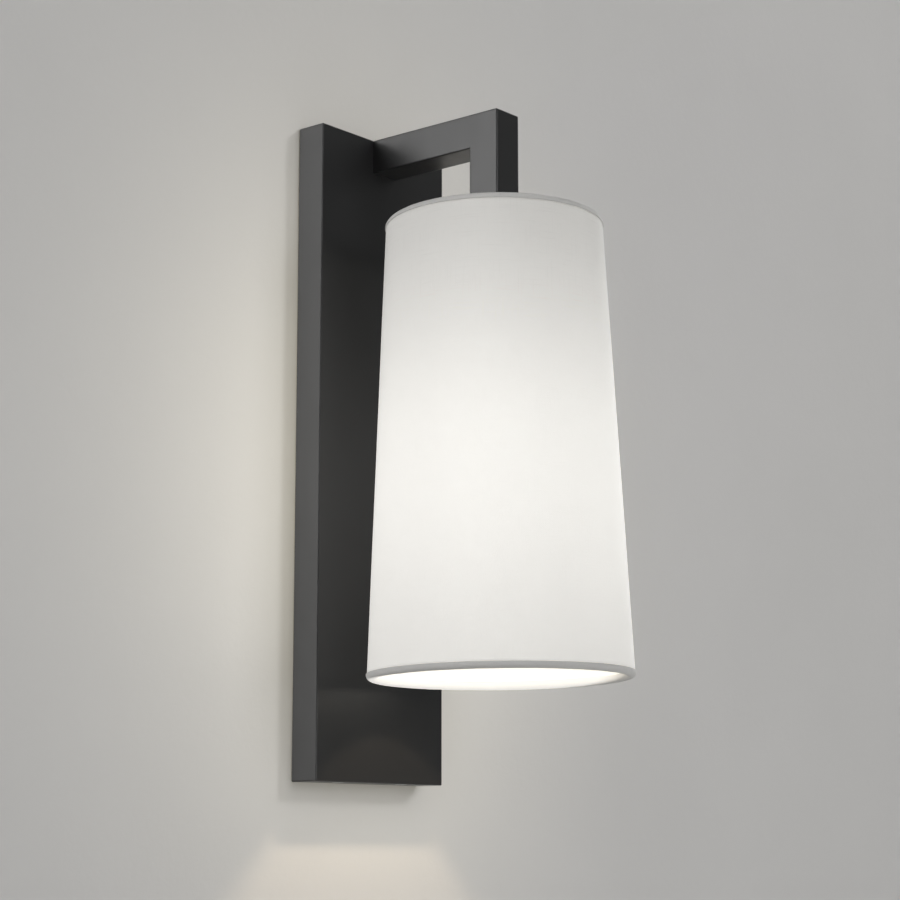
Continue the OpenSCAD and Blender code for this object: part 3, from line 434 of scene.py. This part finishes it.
def rings_to_mesh(rings, closed_loop=False):
    """Joins closed rings of points with quads, and the last ring to the first one in a closed loop."""
    bm = bmesh.new()
    rows = [[bm.verts.new(p) for p in ring] for ring in rings]
    pairs = list(zip(rows, rows[1:])) + ([(rows[-1], rows[0])] if closed_loop else [])
    for a, b in pairs:
        n = len(a)
        for i in range(n):
            bm.faces.new((a[i], a[(i + 1) % n], b[(i + 1) % n], b[i]))
    return bm


def square_bar():
    """The bent square tube, welded at its mitre and ground flush, with rounded long edges."""
    half = BAR_W / 2
    top = ARM_TOP_Z
    front = leg_low.y
    start = cover_low.y

    def ring(x, y_out, z_out, y_in, z_in):
        """Four corners of a cut through the tube, first the two on the outside of its bend."""
        return [(-x, y_out, z_out), (x, y_out, z_out), (x, y_in, z_in), (-x, y_in, z_in)]

    rings = []
    for t in (0.0, BAR_WALL):
        x = half - t
        path = [
            ring(x, start, top - t, start, top - BAR_W + t),
            ring(x, front + t, top - t, front + BAR_W - t, top - BAR_W + t),
            ring(x, front + t, LEG_END_Z, front + BAR_W - t, LEG_END_Z),
        ]
        rings += path if t == 0 else path[::-1]
    bm = rings_to_mesh(rings, closed_loop=True)
    bm.verts.index_update()
    bm.verts.ensure_lookup_table()
    corners = 4
    outer = set(bm.verts[:3 * corners])
    rounded = []
    for edge in bm.edges:
        a, b = edge.verts
        if a not in outer or b not in outer:
            continue
        i, j = sorted((a.index, b.index))
        along = j - i == corners
        across_bend = (i, j) in ((4, 5), (6, 7))
        if along or across_bend:
            rounded.append(edge)
    bmesh.ops.bevel(bm, geom=rounded, offset=BAR_EDGE_R, segments=4, profile=0.5, affect="EDGES")
    replaced = ("arm_tube", "leg_tube")
    return even_shading(put("arm_bar", bm, "lamp_body", [SLOTS["black_paint"]], replaced))


def wall_point(depth, up):
    """Radius and height of a point "depth" inside the shade's face and "up" the wall from its bottom."""
    z = SHADE_BOTTOM_Z + up * math.cos(SLOPE) - depth * math.sin(SLOPE)
    r = BOTTOM_R - up * math.sin(SLOPE) - depth * math.cos(SLOPE)
    return r, z


def around(r, turn, z):
    """A point of the leaning shade, from its place on the upright one."""
    return LEAN @ Vector((r * math.cos(turn), AXIS_Y + r * math.sin(turn), z))


def shade_cloth():
    """Cloth laminated on the lining, wound once round with a lapped seam towards the wall."""
    columns, rows = 288, 96
    lap = SEAM_W / MEAN_R
    total = 2 * math.pi + lap
    low, high = HEM_R, WALL_LEN - HEM_R
    bm = bmesh.new()

    def lift(angle):
        """The second layer of the lap climbs over the first one's end."""
        share = (angle - 2 * math.pi + LAP_CLIMB) / LAP_CLIMB
        share = min(1.0, max(0.0, share))
        return LAP_RISE * share * share * (3 - 2 * share)

    def grid(depth):
        made = []
        for i in range(columns + 1):
            angle = total * i / columns
            turn = math.pi / 2 - lap / 2 + angle
            column = []
            for j in range(rows + 1):
                up = low + (high - low) * j / rows
                r, z = wall_point(depth, up)
                wobble = noise.noise(Vector((3 * math.cos(turn), 3 * math.sin(turn), 30 * z))) * CLOTH_WOBBLE
                r += lift(angle) + wobble
                column.append(bm.verts.new(around(r, turn, z)))
            made.append(column)
        return made

    outer, inner = grid(0.0), grid(CLOTH_T)
    for i in range(columns):
        for j in range(rows):
            bm.faces.new((outer[i][j], outer[i + 1][j], outer[i + 1][j + 1], outer[i][j + 1]))
            bm.faces.new((inner[i][j], inner[i][j + 1], inner[i + 1][j + 1], inner[i + 1][j]))
        bm.faces.new((outer[i][0], inner[i][0], inner[i + 1][0], outer[i + 1][0]))
        bm.faces.new((outer[i][rows], outer[i + 1][rows], inner[i + 1][rows], inner[i][rows]))
    for j in range(rows):
        bm.faces.new((outer[0][j], outer[0][j + 1], inner[0][j + 1], inner[0][j]))
        bm.faces.new((outer[columns][j], inner[columns][j], inner[columns][j + 1], outer[columns][j + 1]))
    return put("shade_cloth", bm, "shade_body", [SLOTS["shade_cloth"]], ("shade_fabric",))


def arc(x, y, radius, start, end, steps):
    """Points on a circle's arc between two angles in degrees."""
    angles = (math.radians(start + (end - start) * i / steps) for i in range(steps + 1))
    return [(x + radius * math.cos(a), y + radius * math.sin(a)) for a in angles]


def hem_profile():
    """Closed section of the rolled hem: x is outwards from the wall's face, y up the wall from the edge's centre."""
    tip = HEM_T / 2
    flap_end = arc(HEM_X + HEM_R - tip, HEM_FLAP - tip, tip, 180, 0, 6)
    outside = arc(HEM_X, 0, HEM_R, 0, -180, 26)
    curl_end = arc(HEM_X - HEM_IN_R - tip, HEM_CURL, tip, 180, 0, 6)
    inside = arc(HEM_X, 0, HEM_IN_R, -180, 0, 26)
    return flap_end + outside + curl_end + inside


def rolled_hem(name, top, node):
    """A hem round the shade's top or bottom edge, slightly uneven as the cloth puckers."""
    profile = hem_profile()
    steps = 360
    edge_up = WALL_LEN - HEM_R if top else HEM_R
    sign = -1 if top else 1
    seed = 7.0 if top else 0.0
    rings = []
    for k in range(steps):
        turn = 2 * math.pi * k / steps
        c, s = math.cos(turn), math.sin(turn)
        swell = noise.noise(Vector((9 * c, 9 * s, seed))) * HEM_SWELL
        pucker = noise.noise(Vector((60 * c, 60 * s, seed))) * HEM_PUCKER
        ring = []
        for x, y in profile:
            away = Vector((x - HEM_X, y))
            if away.length > HEM_IN_R + HEM_T / 2:
                away *= 1 + (swell + pucker) / away.length
            r, z = wall_point(-(HEM_X + away.x), edge_up + sign * away.y)
            ring.append(around(r, turn, z))
        rings.append(ring)
    bm = rings_to_mesh(rings, closed_loop=True)
    return put(name, bm, "shade_body", [SHADED_HEM_CLOTH], (node,))


def smooth_route(points):
    """A smooth curve through the points, in four steps from each to the next."""
    steps = 4
    made = []
    for i in range(len(points) - 1):
        a, b, c, d = (points[max(i - 1, 0)], points[i], points[i + 1], points[min(i + 2, len(points) - 1)])
        slope, bend, twist = c - a, 2 * a - 5 * b + 4 * c - d, 3 * b - a - 3 * c + d
        for k in range(steps):
            t = k / steps
            made.append((2 * b + slope * t + bend * t * t + twist * t ** 3) / 2)
    made.append(points[-1])
    return made


# The wires: insulated core, bared strands at both ends, and the stripe that winds round the earth wire
CORE_R = 1.1 * MM
STRAND_R = 0.85 * MM
BARE_LEN = 5.5 * MM
WIRE_SIDES = 20
STRIPE_TURNS = 12  # for each metre
STRIPE_SHARE = 0.35


def wire_stations(route):
    """Points along a wire with their distance from its start, among them the two where its insulation ends."""
    path = smooth_route([Vector(p) * MM for p in route])
    lengths = [0.0]
    for a, b in zip(path, path[1:]):
        lengths.append(lengths[-1] + (b - a).length)
    total = lengths[-1]
    stations = list(zip(path, lengths))
    for wanted in (BARE_LEN, total - BARE_LEN):
        for i in range(len(path) - 1):
            if lengths[i] <= wanted < lengths[i + 1]:
                share = (wanted - lengths[i]) / (lengths[i + 1] - lengths[i])
                stations.append((path[i].lerp(path[i + 1], share), wanted))
    return sorted(stations, key=lambda station: station[1]), total


def wire_piece(name, route, node, slot, stripe=None):
    """An insulated core with its strands bared at both ends, and a stripe that winds round it where one is given."""
    stations, total = wire_stations(route)
    side = Vector((0.0, 1.0, 0.0)) if stripe else Vector((1.0, 0.0, 0.0))
    rings, kinds = [], []
    for i, (p, s) in enumerate(stations):
        ahead = stations[min(i + 1, len(stations) - 1)][0] - stations[max(i - 1, 0)][0]
        t = ahead.normalized()
        u = side.cross(t).normalized()
        v = t.cross(u)
        radii = [STRAND_R if s < BARE_LEN or s > total - BARE_LEN else CORE_R]
        if abs(s - BARE_LEN) < 1e-9:
            radii = [STRAND_R, CORE_R]
        elif abs(s - (total - BARE_LEN)) < 1e-9:
            radii = [CORE_R, STRAND_R]
        for r in radii:
            turns = (2 * math.pi * k / WIRE_SIDES for k in range(WIRE_SIDES))
            rings.append([p + r * (math.cos(a) * u + math.sin(a) * v) for a in turns])
            kinds.append((r == CORE_R, s))
    bm = rings_to_mesh(rings)
    bm.verts.ensure_lookup_table()
    bm.faces.ensure_lookup_table()
    for i, face in enumerate(bm.faces):
        row, k = divmod(i, WIRE_SIDES)
        insulated = kinds[row][0] and kinds[row + 1][0]
        face.material_index = 0 if insulated else 1
        if insulated and stripe:
            turn = (k / WIRE_SIDES + kinds[row][1] * STRIPE_TURNS) % 1.0
            if turn < STRIPE_SHARE:
                face.material_index = 2
    for start in (0, len(rings) - 1):
        ends = [bm.verts[start * WIRE_SIDES + k] for k in range(WIRE_SIDES)]
        bm.faces.new(ends).material_index = 1
    materials = [SLOTS[slot], COPPER] + ([stripe] if stripe else [])
    return put(name, bm, "lamp_body", materials, (node,))


# Routes of the wires, in millimetres and with the names of the part's source
COVER_INNER_Y = cover_low.y / MM + 1.2
LIFT_Y = cover_high.y / MM - 4.2
ARM_Z = cover_high.z / MM - 7.5
ARM_PLUG_Y = cover_low.y / MM - 12
LEG_Y = AXIS_Y / MM
CAP_BOSS_Z = LEG_END_Z / MM - 3 - 1.8 - 2
BLOCK_Z = cover_high.z / MM - 80
BLOCK_LEAD = 8
POLE_GAP = 8.2
POLE_Y = COVER_INNER_Y + 4
PAIR_X = 1.35
CORE_LEAD_RISE = 13
CORE_SPREAD_RISE = 26
CORE_GATHER_DROP = 24
CORE_PAIR_DROP = 12
CORE_BEND_START = 12
CORE_BEND_DROP = 10
CORE_TOP_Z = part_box("holder_core")[1].z / MM
CORE_FAN_RISE = 9
CORE_DIP_RISE = 5
CORE_DIP_Y = 5.5
CORE_GAP = CORE_R / MM + FIT_GAP / MM
CLAMP_X = 9 - 1.5 - CORE_GAP
CLAMP_Z = CORE_TOP_Z - 1 + 0.5 + CORE_GAP
EARTH_LEAD_DROP = 12
EARTH_TURN_DROP = 16
EARTH_TURN_X = 15
EARTH_LOW_DROP = 18
EARTH_LOW_X = 8
COVER_EARTH_X = 22
COVER_EARTH_Z = BLOCK_Z - 32
BARREL_Y = COVER_INNER_Y + 0.4 + 1.9
BARREL_LOW_Z = COVER_EARTH_Z + 4.2 + 0.6
BARREL_TOP_Z = BARREL_LOW_Z + 6
LUG_UP_Z = BARREL_TOP_Z + 3.5


def core_route(side):
    """Route of the live core, at side -1, or the neutral core, at side 1, from terminal block to lampholder."""
    points = [
        # Up from the block, and both cores together behind the arm
        (POLE_GAP, POLE_Y, BLOCK_Z + 2),
        (POLE_GAP, POLE_Y, BLOCK_Z + BLOCK_LEAD),
        (POLE_GAP, POLE_Y, BLOCK_Z + CORE_LEAD_RISE),
        (7, POLE_Y + 2, BLOCK_Z + CORE_SPREAD_RISE),
        (3, LIFT_Y, ARM_Z - CORE_GATHER_DROP),
        (PAIR_X, LIFT_Y, ARM_Z - CORE_PAIR_DROP),
        (PAIR_X, LIFT_Y, ARM_Z - 4),
        # Through the arm, round its corner and down the leg
        (PAIR_X, LIFT_Y - 1.2, ARM_Z - 1),
        (PAIR_X, LIFT_Y - 4, ARM_Z),
        (PAIR_X, ARM_PLUG_Y, ARM_Z),
        (PAIR_X, LEG_Y + CORE_BEND_START, ARM_Z),
        (PAIR_X, LEG_Y + 5, ARM_Z - 0.8),
        (PAIR_X, LEG_Y + 1, ARM_Z - 4),
        (PAIR_X, LEG_Y, ARM_Z - CORE_BEND_DROP),
        (PAIR_X, LEG_Y, LEG_END_Z / MM),
        (PAIR_X, LEG_Y, CAP_BOSS_Z - 1),
        # Apart, and under the lampholder's screws
        (3, LEG_Y - 2.5, CORE_TOP_Z + CORE_FAN_RISE),
        (6, LEG_Y - CORE_DIP_Y, CORE_TOP_Z + CORE_DIP_RISE),
        (CLAMP_X, LEG_Y - CORE_DIP_Y, CLAMP_Z + 1.6),
        (CLAMP_X, LEG_Y - 3.2, CLAMP_Z + 0.1),
        (CLAMP_X, LEG_Y + 1.8, CLAMP_Z),
    ]
    return [(side * x, y, z) for x, y, z in points]


# Route of the earth core, from terminal block to lug
EARTH_ROUTE = [
    (0, POLE_Y, BLOCK_Z - 2),
    (0, POLE_Y, BLOCK_Z - BLOCK_LEAD),
    (0, POLE_Y, BLOCK_Z - EARTH_LEAD_DROP),
    (2.5, POLE_Y - 0.4, BLOCK_Z - EARTH_TURN_DROP),
    (EARTH_LOW_X, POLE_Y - 1, BLOCK_Z - EARTH_LOW_DROP),
    (EARTH_TURN_X, BARREL_Y, BLOCK_Z - EARTH_TURN_DROP),
    (COVER_EARTH_X - 2, BARREL_Y, LUG_UP_Z + 4),
    (COVER_EARTH_X, BARREL_Y, LUG_UP_Z),
    (COVER_EARTH_X, BARREL_Y, BARREL_TOP_Z - 1),
    (COVER_EARTH_X, BARREL_Y, BARREL_LOW_Z + 1.2),
]

# Edge radius of the carried-over nodes in millimetres, and of those that have another; 0 leaves the edges as they are
EDGE_R = 0.12
WIDE_EDGE_R = 0.3
EDGES = {
    "cover": 0.55, "wall_bracket": 0.3, "terminal_block": 0.3, "bulb_globe": 0, "bulb_screw_shell": 0, "shade_liner": 0,
    "bottom_ring": 0, "top_ring": 0, "holder_cap": 0.25, "holder_body": 0.1, "shade_ring": 0.2, "bulb_collar": 0.2,
    "fitter_ring": 0.15,
}
WELD_GAP = 0.002 * MM
FLAT_ANGLE = math.radians(0.5)
SHARP_ANGLE = math.radians(32)


def dress_nodes():
    """Gives every carried-over node its slot's material and softens its edges."""
    slots = {row["node"]: row["material_slot"] for row in frame["record"]["subparts"]}
    for name, piece in frame["nodes"].items():
        piece.data.materials.clear()
        piece.data.materials.append(SLOTS[slots[name]])
        if piece.hide_render:
            continue
        width = EDGES.get(name, EDGE_R)
        if not width:
            continue
        weld = piece.modifiers.new("join", "WELD")
        weld.merge_threshold = WELD_GAP
        flat = piece.modifiers.new("flatten", "DECIMATE")
        flat.decimate_type = "DISSOLVE"
        flat.angle_limit = FLAT_ANGLE
        bevel = piece.modifiers.new("edges", "BEVEL")
        bevel.width = width * MM
        bevel.segments = 3 if width > WIDE_EDGE_R else 2
        bevel.limit_method = "ANGLE"
        bevel.angle_limit = SHARP_ANGLE
        bevel.use_clamp_overlap = width < WIDE_EDGE_R
        even_shading(piece)


# ---------------------------------------------------------------- camera, light and stage

# The camera, fitted to the edges of the cover and the arm in the photograph; lens and sensor in millimetres
CAMERA_PLACE = (-0.7047, -0.6388, -0.1677)
CAMERA_YAW = math.radians(50.216)
CAMERA_PITCH = math.radians(10.254)
CAMERA_LENS = 88.53
CAMERA_SENSOR = 36


def camera():
    data = bpy.data.cameras.new("camera")
    data.sensor_width = CAMERA_SENSOR
    data.lens = CAMERA_LENS
    data.clip_start, data.clip_end = 0.05, 30
    eye = bpy.data.objects.new("camera", data)
    SCENE.collection.objects.link(eye)
    level = math.cos(CAMERA_PITCH)
    forward = Vector((math.sin(CAMERA_YAW) * level, math.cos(CAMERA_YAW) * level, math.sin(CAMERA_PITCH)))
    eye.location = CAMERA_PLACE
    eye.rotation_euler = forward.to_track_quat("-Z", "Y").to_euler()
    SCENE.camera = eye


# Softboxes: name, place, point they face, side of their square and power in watts
AIM = (0, -0.05, 0)
SOFTBOXES = [
    ("light_front", (-0.10, -2.33, 0.32), AIM, 1.2, 20),
    ("light_right", (2.15, 0.54, 0.60), AIM, 1.2, 27),
    ("light_high_right", (1.05, -1.15, 1.76), AIM, 1.2, 3),
    ("light_back", (1.04, 1.75, 0.97), AIM, 1.2, 15),
    ("light_side", (-1.91, -1.24, 0.48), AIM, 0.5, 3),
    ("light_left", (-1.93, 0.65, 1.04), AIM, 0.7, 12),
    ("light_left_low", (-1.87, 1.21, 0.44), AIM, 1.3, 10),
    ("light_arm", (-1.87, 1.21, 0.44), AIM, 1.3, 6),
    ("light_shade", (-1.96, 0.99, 0.60), (0, -0.08, 0), 1.2, 13),
    ("light_wall", (0.98, -1.89, 0.97), (0, 0, 0), 0.35, 10),
]
# These stand behind the one-sided wall and light the left faces through it. Reflected rays stop at the wall's front
# and never find them, so their light is sampled at the lamp alone, or part of it would be lost
THROUGH_WALL = ("light_left", "light_left_low", "light_arm", "light_shade")


def softbox(name, place, target, side, power):
    """A square lamp that faces a point, and that the camera doesn't see."""
    data = bpy.data.lights.new(name, "AREA")
    data.shape = "RECTANGLE"
    data.size = data.size_y = side
    data.energy = power
    lamp = bpy.data.objects.new(name, data)
    SCENE.collection.objects.link(lamp)
    lamp.location = place
    lamp.visible_camera = False
    lamp.rotation_euler = (Vector(target) - Vector(place)).to_track_quat("-Z", "Y").to_euler()
    return lamp


def linked(name, objects, state="INCLUDE"):
    """A collection that names what a light reaches or what stops it."""
    group = bpy.data.collections.new(name)
    for thing in objects:
        group.objects.link(thing)
    for entry in group.collection_objects:
        entry.light_linking.link_state = state
    return group


BULB_W = 0.68
BULB_SOFT_R = 6 * MM
BULB_LIFT = 5 * MM  # above the globe's centre


def bulb_light(reached):
    """The bulb's light on what stands outside the shade; inside it, the globe and the lining glow by themselves."""
    low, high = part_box("bulb_globe")
    data = bpy.data.lights.new("bulb_light", "POINT")
    data.energy = BULB_W
    data.color = (1.0, 0.80, 0.56)
    data.shadow_soft_size = BULB_SOFT_R
    lamp = bpy.data.objects.new("bulb_light", data)
    SCENE.collection.objects.link(lamp)
    lamp.location = (low + high) / 2 + Vector((0, 0, BULB_LIFT))
    through = [frame["nodes"][name] for name in ("bulb_globe", "bulb_led_board")]
    lamp.light_linking.blocker_collection = linked("lets_bulb_light_through", through, "EXCLUDE")
    lamp.light_linking.receiver_collection = linked("bulb_light_reaches", reached)


def stage_plane(name, corners, material):
    """A flat piece of the backdrop, which isn't part of the object."""
    mesh = bpy.data.meshes.new(name)
    mesh.from_pydata(corners, [], [(0, 1, 2, 3)])
    mesh.materials.append(material)
    plane = bpy.data.objects.new(name, mesh)
    SCENE.collection.objects.link(plane)
    return plane


# The stage in metres, and the distances at which the pool of light has fallen to 37 %
FLOOR_Z = -0.7
FLOOR_HALF = 9
WALL_HALF = 4
WALL_TOP = 3
POOL_HALF_W = 0.12
POOL_HALF_H = 0.15

# The even light of the room, and the background's tone
ROOM_LIGHT = 0.02
BACKGROUND = 0.16


def backdrop_rays(tree):
    """1 for the rays that show a backdrop: from the camera, in reflections and through glass."""
    path = tree.nodes.new("ShaderNodeLightPath")
    seen = path.outputs["Is Camera Ray"]
    for kind in ("Is Glossy Ray", "Is Transmission Ray"):
        either = tree.nodes.new("ShaderNodeMath")
        either.operation = "MAXIMUM"
        tree.links.new(seen, either.inputs[0])
        tree.links.new(path.outputs[kind], either.inputs[1])
        seen = either.outputs[0]
    return seen


def light_pool(s):
    """The lamp's pool of light on the wall: 1 behind the shade's middle, falling off softly."""
    pool = s.add("ShaderNodeMapping", {
        "Vector": s.place, "Scale": (1 / POOL_HALF_W, 0, 1 / POOL_HALF_H), "Location": (0, 0, 0.03),
    })
    away = s.add("ShaderNodeVectorMath", {0: pool.outputs[0]}, operation="LENGTH").outputs["Value"]
    return s.math("EXPONENT", s.math("MULTIPLY", s.math("MULTIPLY", away, away), -1.0))


def pale_stage(name, colour, glow, one_sided=False):
    """Matt paint on plaster, with a pale glow that only the camera and reflections see.

    A one-sided wall is seen from the front only, lets the studio light through and has the lamp's pool of light on it.
    """
    s = Shader(name, colour, 0.9)
    s.tones(s.noise(6, 4), 0.985, 1.015)
    s.bump((s.noise(220, 3), 0.0004, 0.25), (s.noise(900, 2), 0.0001, 0.2))
    seen = backdrop_rays(s.tree)
    pale = s.add("ShaderNodeEmission", {"Color": (0.99, 1.0, 0.99, 1), "Strength": s.math("MULTIPLY", seen, glow)})
    surface = s.add("ShaderNodeAddShader", {0: s.bsdf.outputs[0], 1: pale.outputs[0]})
    if one_sided:
        s.set("Emission Color", (1.0, 0.90, 0.66, 1.0))
        s.set("Emission Strength", s.math("MULTIPLY", light_pool(s), 0.24))
        front = s.math("SUBTRACT", 1.0, s.add("ShaderNodeNewGeometry").outputs["Backfacing"])
        clear = s.add("ShaderNodeBsdfTransparent").outputs[0]
        surface = s.add("ShaderNodeMixShader", {0: s.math("MULTIPLY", seen, front), 1: clear, 2: surface.outputs[0]})
    out = next(n for n in s.tree.nodes if n.type == "OUTPUT_MATERIAL")
    s.tree.links.new(surface.outputs[0], out.inputs["Surface"])
    return s.material


def stage():
    """The wall that the lamp hangs on, which is returned, and a floor."""
    wall = pale_stage("wall_paint", (0.56, 0.551, 0.539), 0.025, one_sided=True)
    floor = pale_stage("floor_paint", (0.60, 0.60, 0.59), 0.30)
    w, h, z = WALL_HALF, FLOOR_HALF, FLOOR_Z
    stage_wall = stage_plane("stage_wall", [(-w, 0, z), (w, 0, z), (w, 0, WALL_TOP), (-w, 0, WALL_TOP)], wall)
    stage_plane("stage_floor", [(-h, -h, z), (h, -h, z), (h, h, z), (-h, h, z)], floor)
    return stage_wall


def surroundings():
    """The room's light, and the background that the camera and reflections see instead of it."""
    world = bpy.data.worlds.new("studio")
    SCENE.world = world
    world.use_nodes = True
    tree = world.node_tree
    tree.nodes.clear()
    dim = tree.nodes.new("ShaderNodeBackground")
    dim.inputs["Color"].default_value = (0.93, 0.96, 1.0, 1)
    dim.inputs["Strength"].default_value = ROOM_LIGHT
    pale = tree.nodes.new("ShaderNodeBackground")
    pale.inputs["Color"].default_value = (BACKGROUND, BACKGROUND, BACKGROUND, 1)
    pale.inputs["Strength"].default_value = 1.0
    both = tree.nodes.new("ShaderNodeMixShader")
    tree.links.new(backdrop_rays(tree), both.inputs[0])
    tree.links.new(dim.outputs[0], both.inputs[1])
    tree.links.new(pale.outputs[0], both.inputs[2])
    out = tree.nodes.new("ShaderNodeOutputWorld")
    tree.links.new(both.outputs[0], out.inputs["Surface"])


def studio(arm, shade):
    """The stage and its lights: "arm" and "shade" are the pieces that have a softbox of their own."""
    stage_wall = stage()
    cover = frame["nodes"]["cover"]
    lamps = {row[0]: softbox(*row) for row in SOFTBOXES}
    for name in THROUGH_WALL:
        lamps[name].data.cycles.use_multiple_importance_sampling = False
    for name, group in (
        ("light_left_low", linked("all_but_shade", shade, "EXCLUDE")),
        ("light_arm", linked("arm_only", [arm])),
        ("light_shade", linked("shade_only", shade)),
        ("light_wall", linked("wall_only", [stage_wall])),
    ):
        lamps[name].light_linking.receiver_collection = group
    lamps["light_wall"].light_linking.blocker_collection = linked("cover_only", [cover])
    bulb_light([stage_wall, cover])
    surroundings()


camera()
arm_bar = square_bar()
sheet = shade_cloth()
hems = [rolled_hem("top_hem_roll", True, "top_hem"), rolled_hem("bottom_hem_roll", False, "bottom_hem")]
wire_piece("live_core", core_route(-1), "live_wire", "brown_insulation")
wire_piece("neutral_core", core_route(1), "neutral_wire", "blue_insulation")
wire_piece("earth_core", EARTH_ROUTE, "earth_wire", "green_yellow_insulation", YELLOW)
dress_nodes()
studio(arm_bar, [sheet, *hems])

SCENE.view_settings.view_transform = "Standard"
